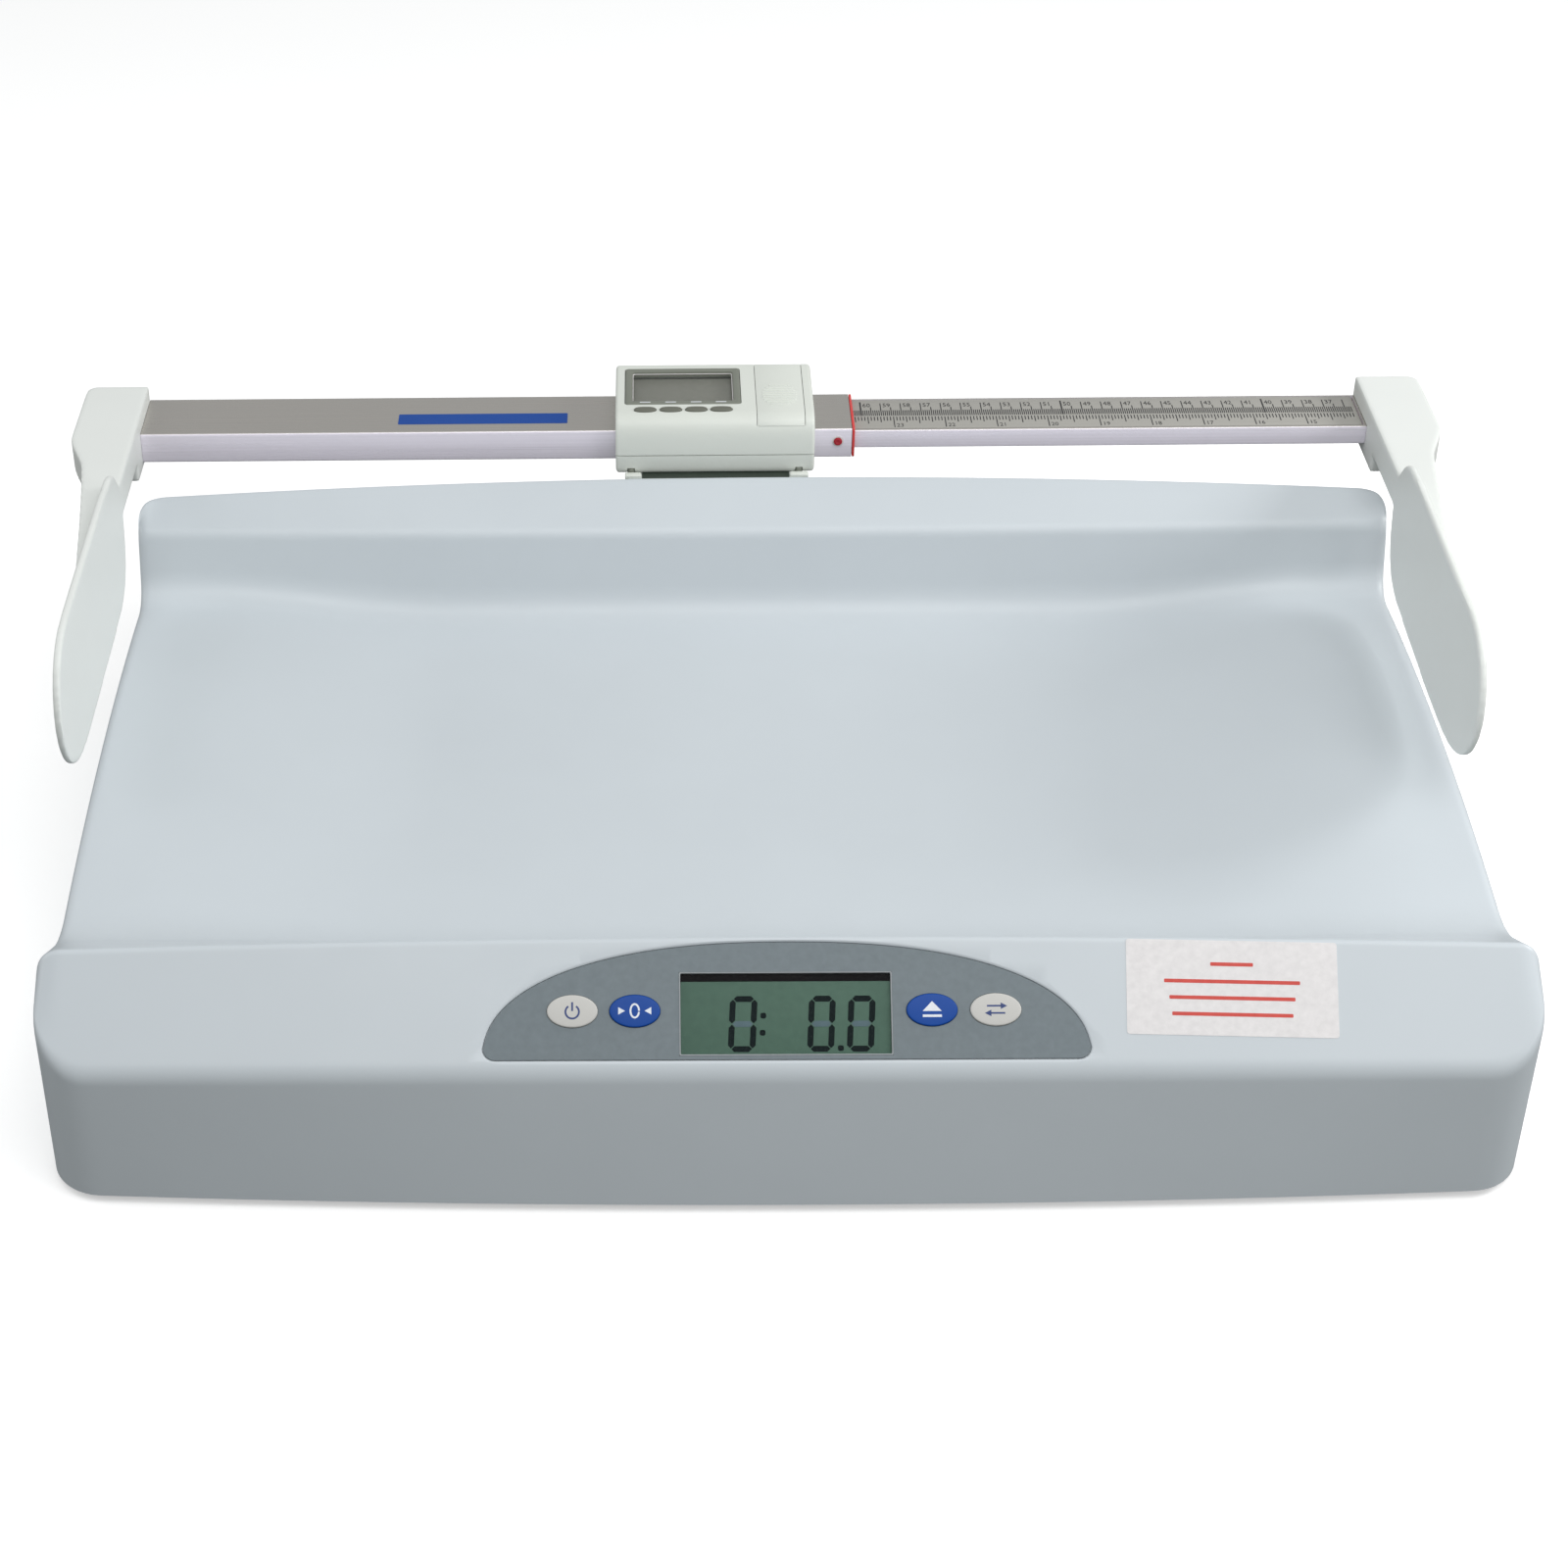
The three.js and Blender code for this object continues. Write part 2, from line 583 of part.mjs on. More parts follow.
function readerKey(x) {
  const cap = softPlate(oval(x, READER_KEY_Y, 10.6, 6), HEAD.top - 2.4, HEAD.top + 1, 0.4, 5);
  return join(cap, post(x, READER_KEY_Y, SLEEVE.top + 3.6, HEAD.top - 2, 1.5, 10));
}

const readerDoor = () =>
  cut(
    box(DOOR_LOW + 0.4, DOOR_HIGH - 0.4, HEAD.front + 2.8, HEAD.back - 1, HEAD.top - 1.6, HEAD.top),
    ...[-2, -1, 0, 1, 2].map((i) => pinAlongX(190.5 + i * 3.4, HEAD.top + 0.7, 4, 18, 1.1, 8)),
  );

const readerCell = () => turned([[0, 150], [8, 150], [8, 153.4], [7, 153.8], [0, 153.8]], 11, 196, 20);

// ---- rod bracket ----
function rodBracket() {
  const wall = box(-62, 20, BACK_Y + 0.8, BACK_Y + 4.8, 78, 124.5);
  const shelf = box(-64, 22, BACK_Y + 0.8, 214, 123.8, 128);
  const ribs = [-58, -34, 16].map((x) => {
    const shape = new THREE.Shape();
    shape.moveTo(BACK_Y + 4, 84);
    shape.lineTo(208, 124.5);
    shape.lineTo(BACK_Y + 4, 124.5);
    shape.closePath();
    return alongX(shape, x - 2, x + 2);
  });
  const wallHoles = BRACKET_SCREWS.map((x) => pinAlongY(x, 100, 150, 170, 2.2, 10));
  const shelfHole = post(CLAMP_SCREW_X, 169, 110, 136, 2.2, 10);
  return cut(join(wall, shelf, ...ribs), ...wallHoles, shelfHole);
}

function bracketScrew(x) {
  const head = pinAlongY(x, 100, BACK_Y + 5.1, BACK_Y + 7.6, 3.8, 14);
  return join(head, pinAlongY(x, 100, BACK_Y - 12, BACK_Y + 5.5, 1.7, 10));
}

const clampScrew = () =>
  turned([[0, 121], [3.6, 121], [3.6, 123.4], [1.5, 123.4], [1.5, 134], [0, 135]], CLAMP_SCREW_X, 169, 12);

// ---- paddles ----
// plan of the right-hand arm: the outer side draws in towards the leaf
function armShape() {
  const shape = new THREE.Shape();
  shape.moveTo(PADDLE_FACE, PADDLE_BACK);
  shape.lineTo(PADDLE_FACE, -5);
  shape.lineTo(PADDLE_FACE + LEAF_THICK, -5);
  shape.bezierCurveTo(312, 40, 317, 95, 324, 134);
  shape.bezierCurveTo(329.5, 150, PADDLE_OUT, 154, PADDLE_OUT, 165);
  shape.lineTo(PADDLE_OUT, PADDLE_BACK - 9);
  shape.bezierCurveTo(PADDLE_OUT, PADDLE_BACK - 4, 332, PADDLE_BACK, 328, PADDLE_BACK);
  shape.closePath();
  return shape;
}

// side outline of the leaf in Y and Z: a rounded blade with a short neck at the back
function leafShape() {
  const shape = new THREE.Shape();
  shape.moveTo(113, 134.3);
  shape.bezierCurveTo(110, 119, 106, 101.2, 78, 100.6);
  shape.bezierCurveTo(45, 98.8, 5, 98.8, -22, 98.8);
  shape.bezierCurveTo(-53, 98.8, -67.5, 114, -67.5, 133);
  shape.bezierCurveTo(-67.5, 150, -55, 167.3, -30, 167.3);
  shape.bezierCurveTo(0, 168.3, 60, 168.3, 92, 166.8);
  shape.bezierCurveTo(102, 166.3, 107, 160, 112, ARM_TOP - 1);
  shape.closePath();
  return shape;
}

function paddleBody() {
  const arm = plate(armShape(), ARM_FLOOR, ARM_TOP, 5);
  const block = box(PADDLE_FACE, SOCKET_OUT, SOCKET_FRONT, PADDLE_BACK + 9, SOCKET_FLOOR, ARM_TOP);
  const foot = surface(solid(plate(armShape(), SOCKET_FLOOR, ARM_TOP, 5)).intersect(solid(block)));
  const leaf = alongX(leafShape(), PADDLE_FACE, PADDLE_FACE + LEAF_THICK, 8);
  const screwHole = post(317, 196, 100, 134, 1.7, 10);
  return cut(join(arm, foot, leaf), screwHole);
}

function rightPaddle() {
  const { front, back, floor, top, high } = ROD;
  const socket = box(PADDLE_FACE - 5, high + GAP, front - GAP, back + GAP, floor - GAP, top + GAP);
  return cut(paddleBody(), socket);
}

// the sleeve plugs in flush with the face, on a spigot of the left paddle
function leftPaddle() {
  const { front, back, floor, top, wall } = SLEEVE;
  const inner = wall + GAP;
  const spigot = box(PADDLE_FACE - 10, PADDLE_FACE + 4, front + inner, back - inner, floor + inner, top - inner);
  const recess = box(PADDLE_FACE - 12, PADDLE_FACE + GAP, front - GAP, back + GAP, floor - GAP, top + GAP);
  const body = join(cut(paddleBody(), recess), spigot);
  const mirrored = body.clone().scale(-1, 1, 1);
  const index = mirrored.index.array;
  for (let i = 0; i < index.length; i += 3) {
    [index[i], index[i + 1]] = [index[i + 1], index[i]];
  }
  return mirrored;
}

const paddleScrew = (side) =>
  turned([[0, 124.4], [3.4, 124.4], [3.4, 127], [1.4, 127], [1.4, 131], [0, 131.6]], side * 317, 196, 12);

// ---- assembly ----
const scale = new THREE.Group();
const onTray = new THREE.Group();
onTray.position.x = TRAY_X;
scale.add(onTray);

function add(name, geometry, look, group = onTray) {
  const mesh = new THREE.Mesh(geometry, new THREE.MeshStandardMaterial(LOOK[look]));
  mesh.name = name;
  group.add(mesh);
}

add('tray_shell', trayShell(), 'shell');
add('base_pan', basePan(), 'pan');
add('chassis', chassis(), 'steel');
FEET.forEach(([place, x, y]) => {
  add(`foot_pad_${place}`, footPad(x, y), 'rubber');
  add(`foot_stud_${place}`, footStud(x, y), 'steel');
  add(`load_cell_${place}`, loadCell(x, y), 'aluminium');
});
SCREWS.forEach(([x, y], i) => add(`case_screw_${i + 1}`, caseScrew(x, y), 'steel'));
add('battery_box', batteryBox(), 'black');
[0, 1, 2, 3].forEach((i) => add(`cell_${i + 1}`, cell(i % 2, Math.floor(i / 2)), 'cell'));
add('battery_hatch', hatch(), 'pan');

add('overlay', overlay(), 'overlay');
add('display_window', displayWindow(), 'glass');
add('display_module', displayModule(), 'lcd');
KEYS.forEach(([name, x, look]) => add(name, key(x), look));
add('main_board', mainBoard(), 'board');
add('notice_blank', onPanel(noticeBlank(0, 0.2, 0)), 'paper');

add('rod_bracket', rodBracket(), 'grey');
BRACKET_SCREWS.forEach((x, i) => add(`bracket_screw_${i + 1}`, bracketScrew(x), 'steel'));
add('clamp_screw', clampScrew(), 'steel');
add('rod_sleeve', sleeve(), 'aluminium', scale);
add('index_ring', indexRing(), 'red', scale);
add('sleeve_rivet', sleeveRivet(), 'red', scale);
add('inner_rod', innerRod(), 'aluminium', scale);
add('rod_slipper', rodSlipper(), 'black', scale);
add('encoder_strip', encoderStrip(), 'copper', scale);
add('scale_tape', scaleTape(), 'tape', scale);

add('reader_top_case', readerTopCase(), 'head');
add('reader_bottom_case', readerBottomCase(), 'head');
add('reader_window', readerWindow(), 'glass');
add('reader_lcd', readerLcd(), 'lcd');
add('reader_board', readerBoard(), 'board');
READER_KEY_X.forEach((x, i) => add(`reader_key_${i + 1}`, readerKey(x), 'grey'));
add('reader_door', readerDoor(), 'head');
add('reader_cell', readerCell(), 'steel');

add('left_paddle', leftPaddle(), 'paddle', scale);
add('right_paddle', rightPaddle(), 'paddle', scale);
add('left_paddle_screw', paddleScrew(-1), 'steel', scale);
add('right_paddle_screw', paddleScrew(1), 'steel', scale);

export default scale;
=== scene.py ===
from math import atan, ceil, cos, degrees, hypot, pi, radians, sin, sqrt

import bmesh
import bpy
from mathutils import Matrix, Vector


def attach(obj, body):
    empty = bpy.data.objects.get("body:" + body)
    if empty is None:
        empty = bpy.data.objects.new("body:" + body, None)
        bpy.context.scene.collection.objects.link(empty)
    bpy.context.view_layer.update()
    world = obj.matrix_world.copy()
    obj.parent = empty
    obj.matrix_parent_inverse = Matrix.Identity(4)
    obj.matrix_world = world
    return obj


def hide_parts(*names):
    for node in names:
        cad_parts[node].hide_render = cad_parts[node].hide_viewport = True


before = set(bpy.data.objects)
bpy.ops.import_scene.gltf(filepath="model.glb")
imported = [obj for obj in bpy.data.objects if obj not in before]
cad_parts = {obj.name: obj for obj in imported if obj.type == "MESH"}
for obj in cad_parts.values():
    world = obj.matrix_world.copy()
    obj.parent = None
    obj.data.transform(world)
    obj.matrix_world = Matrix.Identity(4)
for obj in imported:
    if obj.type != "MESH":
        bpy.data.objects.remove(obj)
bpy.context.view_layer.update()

# Shapes are written in millimetres and become metres in raw(). Those of the tray, and of all that is fixed
# to it, have their x from the middle of the tray, which add_piece() moves to its place.
MM = 0.001
TRAY_PLACE = Matrix.Translation((3 * MM, 0, 0))
OFF_TRAY = ("rod_sleeve", "sleeve_", "index_ring", "inner_rod", "scale_", "left_paddle", "right_paddle")


# ---- looks
def srgb(red, green, blue):
    """Linear colour of an 8-bit display colour."""
    def linear(value):
        value /= 255
        return value / 12.92 if value <= 0.04045 else ((value + 0.055) / 1.055) ** 2.4
    return (linear(red), linear(green), linear(blue), 1.0)


def shade_of(color, factor):
    return (*(min(1.0, c * factor) for c in color[:3]), 1.0)


class Look:
    """A node material: one Principled shader and the procedural detail that feeds it."""

    def __init__(self, name, color, roughness, **sockets):
        self.material = bpy.data.materials.new(name)
        self.material.use_nodes = True
        self.tree = self.material.node_tree
        self.shader = self.tree.nodes["Principled BSDF"]
        self.color = srgb(*color)
        self.set("Base Color", self.color)
        self.set("Roughness", roughness)
        for socket, value in sockets.items():
            self.set(socket.replace("_", " ").title().replace("Ior", "IOR"), value)
        texture = self.node("ShaderNodeTexCoord")
        self.coords, self.normals = texture.outputs["Object"], texture.outputs["Normal"]
        self.heights = []

    def set(self, socket, value):
        self.shader.inputs[socket].default_value = value

    def node(self, kind, **inputs):
        made = self.tree.nodes.new(kind)
        for name, value in inputs.items():
            made.inputs[name.replace("_", " ").title()].default_value = value
        return made

    def link(self, output, target):
        self.tree.links.new(output, target)

    def noise(self, size_mm, detail=3.0, stretch=None, roughness=0.55):
        """Noise whose features are about size_mm; stretch is how much longer they are along X, Y and Z."""
        made = self.node("ShaderNodeTexNoise", scale=1.0, detail=detail, roughness=roughness)
        mapping = self.node("ShaderNodeMapping")
        base = 1.0 / (size_mm * MM)
        factors = stretch or (1, 1, 1)
        mapping.inputs["Scale"].default_value = [base / f for f in factors]
        self.link(self.coords, mapping.inputs["Vector"])
        self.link(mapping.outputs["Vector"], made.inputs["Vector"])
        return made.outputs["Fac"]

    def span(self, value, low, high, from_low=0.3, from_high=0.7):
        made = self.node("ShaderNodeMapRange")
        made.inputs["From Min"].default_value = from_low
        made.inputs["From Max"].default_value = from_high
        made.inputs["To Min"].default_value = low
        made.inputs["To Max"].default_value = high
        self.link(value, made.inputs["Value"])
        return made.outputs["Result"]

    def mix(self, factor, dark, light):
        """Colour between dark and light, each a colour or an output."""
        made = self.node("ShaderNodeMix")
        made.data_type = "RGBA"
        self.link(factor, made.inputs[0])
        for socket, value in ((made.inputs[6], dark), (made.inputs[7], light)):
            if isinstance(value, bpy.types.NodeSocket):
                self.link(value, socket)
            else:
                socket.default_value = value
        return made.outputs[2]

    def mottle(self, size_mm, amount, detail=3.0, stretch=None):
        """Slow variation of the base colour, by amount each way."""
        factor = self.span(self.noise(size_mm, detail, stretch), 0.0, 1.0)
        color = self.mix(factor, shade_of(self.color, 1 - amount), shade_of(self.color, 1 + amount))
        self.link(color, self.shader.inputs["Base Color"])
        return self

    def gloss(self, size_mm, low, high, stretch=None):
        """Roughness that wanders between low and high."""
        self.link(self.span(self.noise(size_mm, 4.0, stretch), low, high), self.shader.inputs["Roughness"])
        return self

    def grain(self, size_mm, depth_mm, stretch=None, detail=2.0):
        """Fine relief of about depth_mm."""
        bump = self.node("ShaderNodeBump")
        bump.inputs["Strength"].default_value = 1.0
        bump.inputs["Distance"].default_value = depth_mm * MM
        self.link(self.noise(size_mm, detail, stretch), bump.inputs["Height"])
        if self.heights:
            self.link(self.heights[-1], bump.inputs["Normal"])
        self.heights.append(bump.outputs["Normal"])
        self.link(bump.outputs["Normal"], self.shader.inputs["Normal"])
        return self


def moulded(name, color, roughness, mottle=0.018, grain=0.006, **sockets):
    """Moulded plastic: faint cloudiness, uneven gloss, a fine spark-eroded texture and slow sink marks."""
    look = Look(name, color, roughness, ior=1.47, **sockets)
    look.mottle(90, mottle)
    look.gloss(22, roughness - 0.05, roughness + 0.06)
    look.grain(60, 0.05, detail=1.0)
    return look.grain(0.8, grain)


def brushed(name, color, roughness, stretch=(220, 1, 1), size=0.9, amount=0.07, metallic=1.0):
    """Metal brushed or drawn along one direction."""
    look = Look(name, color, roughness, metallic=metallic)
    look.mottle(size, amount, 5.0, stretch)
    look.gloss(size * 1.7, roughness - 0.07, roughness + 0.1, stretch)
    return look.grain(size * 0.7, 0.0022, stretch)


def extrusion_with_painted_reflections(name, side, top):
    """Anodised extrusion, satin, with painted reflections: the sides take a lighter colour that stands for
    the pale floor they reflect, and faces that point up take a darker colour that stands for the dim room
    above; faces that point up are also more metallic.
    """
    look = brushed(name, side, 0.3, amount=0.04, metallic=0.15)
    facing = look.node("ShaderNodeSeparateXYZ")
    look.link(look.normals, facing.inputs["Vector"])
    upward = look.span(facing.outputs["Z"], 0.0, 1.0, 0.55, 0.85)
    streaked = look.shader.inputs["Base Color"].links[0].from_socket
    # faces that point up get the darker colour, a painted reflection of the room above
    look.link(look.mix(upward, streaked, srgb(*top)), look.shader.inputs["Base Color"])
    look.link(look.span(upward, 0.15, 0.75, 0.0, 1.0), look.shader.inputs["Metallic"])
    return look


def printed(name, color, roughness=0.5, **sockets):
    """Ink or film: even, with a trace of texture."""
    look = Look(name, color, roughness, **sockets)
    look.mottle(3.0, 0.05)
    look.gloss(5.0, roughness - 0.04, roughness + 0.05)
    return look.grain(0.5, 0.001)


def cast_look(name, color, roughness):
    look = Look(name, color, roughness, metallic=1.0)
    look.mottle(6.0, 0.08)
    look.gloss(3.0, roughness - 0.06, roughness + 0.1)
    return look.grain(0.6, 0.004)


def board_look():
    look = Look("board_green", (30, 92, 56), 0.42)
    tracks = look.span(look.noise(1.4, 0.0, (6, 1, 1)), 0.0, 1.0, 0.48, 0.54)
    look.link(look.mix(tracks, srgb(24, 74, 46), srgb(52, 128, 84)), look.shader.inputs["Base Color"])
    look.gloss(4.0, 0.34, 0.5)
    return look.grain(1.4, 0.02, (6, 1, 1))


def battery_look():
    look = Look("battery_wrap", (46, 84, 60), 0.38)
    look.mottle(12.0, 0.12)
    look.gloss(6.0, 0.3, 0.5)
    return look.grain(0.5, 0.004)


LOOKS = {
    "shell": moulded("shell_plastic", (199, 206, 211), 0.40, 0.012, 0.004),
    "pan": moulded("pan_plastic", (186, 192, 196), 0.58, 0.03, 0.02),
    "rubber": moulded("rubber", (38, 39, 41), 0.8, 0.1, 0.03),
    "steel": cast_look("steel", (178, 180, 182), 0.32),
    "cast_aluminium": cast_look("cast_aluminium", (170, 170, 168), 0.42),
    "black": moulded("black_plastic", (30, 31, 33), 0.5, 0.08, 0.02),
    "battery": battery_look(),
    "overlay": printed("overlay_film", (116, 126, 131), 0.48, specular_ior_level=0.3),
    "glass": printed("display_glass", (40, 46, 44), 0.1, alpha=0.04, specular_ior_level=0.12),
    "lcd": printed("display_cell", (86, 114, 100), 0.45, specular_ior_level=0.1),
    "lcd_on": printed("display_segment", (22, 32, 33), 0.5, specular_ior_level=0.05),
    "lcd_off": printed("display_segment_off", (94, 115, 122), 0.45, specular_ior_level=0.1),
    # black band of painted shade at the top of the display cell
    "lcd_band": printed("display_top_shade", (20, 18, 20), 0.4, specular_ior_level=0.05),
    "key_white": moulded("key_white", (200, 199, 195), 0.42, 0.015, 0.004, specular_ior_level=0.3),
    "key_blue": moulded("key_blue", (16, 70, 152), 0.42, 0.05, 0.004, specular_ior_level=0.25),
    "ink_blue": printed("ink_blue", (38, 60, 118), 0.5),
    "ink_white": printed("ink_white", (228, 232, 238), 0.5),
    "ink_red": printed("ink_red", (205, 70, 60), 0.55),
    "ink_black": printed("ink_black", (38, 38, 40), 0.5),
    "board": board_look(),
    "film": printed("label_film", (224, 221, 221), 0.4),
    "rim": printed("display_rim", (150, 155, 158), 0.4),
    "bracket": moulded("bracket_plastic", (196, 202, 200), 0.5, 0.03, 0.01),
    # dark sheet for the gap under the reader head: painted shade
    "strip": moulded("bracket_gap_shade", (48, 58, 50), 0.45, 0.15, 0.01),
    # rod colours: the lighter side colour and the darker top colour are painted reflections of floor and room
    "aluminium": extrusion_with_painted_reflections("rod_aluminium", (240, 234, 245), (190, 186, 181)),
    "red": moulded("red_plastic", (214, 66, 64), 0.42, 0.05, 0.006),
    "rivet": moulded("rivet_red", (168, 34, 48), 0.42, 0.05, 0.006),
    "copper": brushed("encoder_copper", (184, 118, 72), 0.35),
    "tape": brushed("tape_print", (176, 174, 168), 0.42, amount=0.03, metallic=0.3),
    "head": moulded("head_plastic", (217, 221, 214), 0.42, 0.014, 0.005),
    "head_frame": moulded("head_frame", (120, 124, 114), 0.36, 0.04, 0.005),
    "head_glass": printed("reader_glass", (150, 152, 146), 0.12, alpha=0.06, specular_ior_level=0.5),
    "head_lcd": printed("reader_display", (122, 123, 115), 0.36),
    "head_key": moulded("reader_key", (104, 106, 96), 0.46, 0.06, 0.008),
    "coin": cast_look("coin_cell", (190, 190, 188), 0.25),
    "paddle": moulded("paddle_plastic", (226, 229, 226), 0.45, 0.014, 0.006),
}
CAD_LOOKS = {
    "chassis": "steel",
    "load_cell": "cast_aluminium",
    "foot_stud": "steel",
    "battery_box": "black",
    "cell": "battery",
    "main_board": "board",
    "reader_board": "board",
    "reader_cell": "coin",
    "encoder_strip": "copper",
    "rod_slipper": "black",
}


# ---- shapes: (points, faces) in millimetres
def merge(*solids):
    points, faces = [], []
    for some_points, some_faces in solids:
        start = len(points)
        points += some_points
        faces += [[start + i for i in face] for face in some_faces]
    return points, faces


def moved(solid, matrix):
    return [matrix @ Vector(p) for p in solid[0]], solid[1]


def loft(rings, cap=True):
    """Skin over rings of equal length."""
    count = len(rings[0])
    points = [p for ring in rings for p in ring]
    faces = []
    for i in range(len(rings) - 1):
        for j in range(count):
            k = (j + 1) % count
            faces.append([i * count + j, i * count + k, (i + 1) * count + k, (i + 1) * count + j])
    if cap:
        faces.append(list(range(count))[::-1])
        faces.append(list(range(len(points) - count, len(points))))
    return points, faces


def prism(outline, low, high):
    return loft([[(x, y, z) for x, y in outline] for z in (low, high)])


def boxed(x0, x1, y0, y1, z0, z1):
    return prism([(x0, y0), (x1, y0), (x1, y1), (x0, y1)], z0, z1)


def along_x(outline, x0, x1):
    """An outline in Y and Z, run from x0 to x1."""
    return loft([[(x, y, z) for y, z in outline] for x in (x0, x1)])


def rounded(x0, x1, y0, y1, r, steps=6):
    """Rectangle with corner radius r."""
    line = []
    centres = ((x1 - r, y0 + r, -90), (x1 - r, y1 - r, 0), (x0 + r, y1 - r, 90), (x0 + r, y0 + r, 180))
    for cx, cy, start in centres:
        for k in range(steps + 1):
            angle = radians(start + 90 * k / steps)
            line.append((cx + r * cos(angle), cy + r * sin(angle)))
    return line


def oval(x, y, width, height, sides=64, power=2.0):
    line = []
    for k in range(sides):
        c, s = cos(2 * pi * k / sides), sin(2 * pi * k / sides)
        line.append((x + width / 2 * abs(c) ** (2 / power) * (1 if c >= 0 else -1),
                     y + height / 2 * abs(s) ** (2 / power) * (1 if s >= 0 else -1)))
    return line


def turned(profile, x, y, sides=56):
    """A turned piece about an upright axis: [radius, height] pairs from the axis round to the axis."""
    rings = [[(x + r * cos(2 * pi * k / sides), y + r * sin(2 * pi * k / sides), z) for k in range(sides)]
             for r, z in profile]
    return loft(rings)


def upright(x, y, r, low, high, sides=56):
    """A round pin along z."""
    return turned([[0, low], [r, low], [r, high], [0, high]], x, y, sides)


def pin(axis, a, b, low, high, r, sides=32):
    """A round pin: along x at (y, z) = (a, b), or along y at (x, z) = (a, b)."""
    ring = [(r * cos(2 * pi * k / sides), r * sin(2 * pi * k / sides)) for k in range(sides)]
    if axis == "x":
        return loft([[(t, a + c, b + s) for c, s in ring] for t in (low, high)])
    return loft([[(a + c, t, b + s) for c, s in ring] for t in (low, high)])


def bezier(p0, p1, p2, p3, steps):
    """Points of a cubic after its start."""
    line = []
    for k in range(1, steps + 1):
        t = k / steps
        weights = ((1 - t) ** 3, 3 * t * (1 - t) ** 2, 3 * t * t * (1 - t), t ** 3)
        line.append(tuple(sum(w * p[n] for w, p in zip(weights, (p0, p1, p2, p3))) for n in (0, 1)))
    return line


def bezel(x0, x1, y0, y1, profile, radius, steps):
    """A frame round a rectangle: the profile is [inset, height] pairs of its section."""
    rings = [[(x, y, z) for x, y in rounded(x0 + inset, x1 - inset, y0 + inset, y1 - inset, radius, steps)]
             for inset, z in profile]
    return loft([*rings, rings[0]], cap=False)


def tilted(x, y, z, angle):
    """The place at (x, y, z) whose z axis is turned by angle degrees about X."""
    return Matrix.Translation((x, y, z)) @ Matrix.Rotation(radians(angle), 4, "X")


def domed(outline_at, low, high, radius, steps=5, crown=0.0):
    """A plate whose upper edge is rounded: outline_at(inset) gives the outline drawn in by inset."""
    rings = [[(x, y, low) for x, y in outline_at(0)]]
    for k in range(steps + 1):
        angle = pi / 2 * k / steps
        z = high - radius * (1 - sin(angle))
        rings.append([(x, y, z) for x, y in outline_at(radius * (1 - cos(angle)))])
    if crown:
        for inset, rise in ((radius + 1.2, 0.45), (radius + 2.6, 0.8), (radius + 4.4, 1.0)):
            rings.append([(x, y, high + crown * rise) for x, y in outline_at(inset)])
    return loft(rings)


# ---- scene pieces
def raw(name, solid):
    mesh = bpy.data.meshes.new(name)
    mesh.from_pydata([[c * MM for c in p] for p in solid[0]], [], solid[1])
    made = bmesh.new()
    made.from_mesh(mesh)
    bmesh.ops.remove_doubles(made, verts=made.verts, dist=1e-7)
    bmesh.ops.recalc_face_normals(made, faces=made.faces)
    made.to_mesh(mesh)
    made.free()
    obj = bpy.data.objects.new(name, mesh)
    bpy.context.scene.collection.objects.link(obj)
    return obj


def apply(obj):
    """Turns the modifiers into mesh."""
    bpy.context.view_layer.update()
    graph = bpy.context.evaluated_depsgraph_get()
    mesh = bpy.data.meshes.new_from_object(obj.evaluated_get(graph))
    obj.modifiers.clear()
    old, obj.data = obj.data, mesh
    bpy.data.meshes.remove(old)
    return obj


def combine(obj, solids, operation):
    for solid in solids:
        tool = raw("tool", solid)
        modifier = obj.modifiers.new("combine", "BOOLEAN")
        modifier.operation = operation
        modifier.solver = "EXACT"
        modifier.object = tool
        apply(obj)
        bpy.data.objects.remove(tool)
    return obj


def carve(obj, *solids):
    return combine(obj, solids, "DIFFERENCE")


def fuse(obj, *solids):
    return combine(obj, solids, "UNION")


def soften(obj, width, segments=3, angle=40):
    """Rounds the edges sharper than angle."""
    modifier = obj.modifiers.new("soften", "BEVEL")
    modifier.width = width * MM
    modifier.segments = segments
    modifier.limit_method = "ANGLE"
    modifier.angle_limit = radians(angle)
    return apply(obj)


def add_piece(obj, look, body="scale", stands_for=(), smooth=32):
    """Gives a finished mesh its look, its shading and its body, and hides the CAD parts it stands for."""
    if isinstance(obj, tuple):
        obj = raw(*obj)
    mesh = obj.data
    if not obj.name.startswith(OFF_TRAY):
        mesh.transform(TRAY_PLACE)
    mesh.materials.clear()
    mesh.materials.append(LOOKS[look].material)
    mesh.shade_smooth()
    mesh.set_sharp_from_angle(angle=radians(smooth))
    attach(obj, body)
    if stands_for:
        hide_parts(*stands_for)
    return obj


# ---- tray shell
HALF_WIDTH = 302.5
SKIN = 3
SHELL_FOOT_Z = 4
FRONT_Y = -216.5
FRONT_BOW = 8
FRONT_TOP_Z = 67.3
PANEL_SLOPE = 0.9
RIDGE_Y = -175.5
RIDGE_Z = 104.3
CREASE_Y = 128.5
CREASE_Z = 115.3
BACK_Y = 158.5
BACK_BOW = 11
BACK_Z = 130.6
CORNER = 22
FLOOR_STEPS = [-116 + 8 * k for k in range(27)]
INLET = (-180, 40)  # x and z
BRACKET_SCREW_X = (-52, 10)


def round_in(distance, radius):
    return 0 if distance >= radius else radius - sqrt(radius ** 2 - (radius - distance) ** 2)


def smoothstep(value, low, high):
    t = min(1, max(0, (value - low) / (high - low)))
    return t * t * (3 - 2 * t)


def floor_z(x, y):
    lip = 89.3 - 0.000444 * (y - 32.5) ** 2
    cradle = 69 + 0.00028 * (y + 40) ** 2
    return cradle + (lip - cradle) * smoothstep(abs(x), 150, 272)


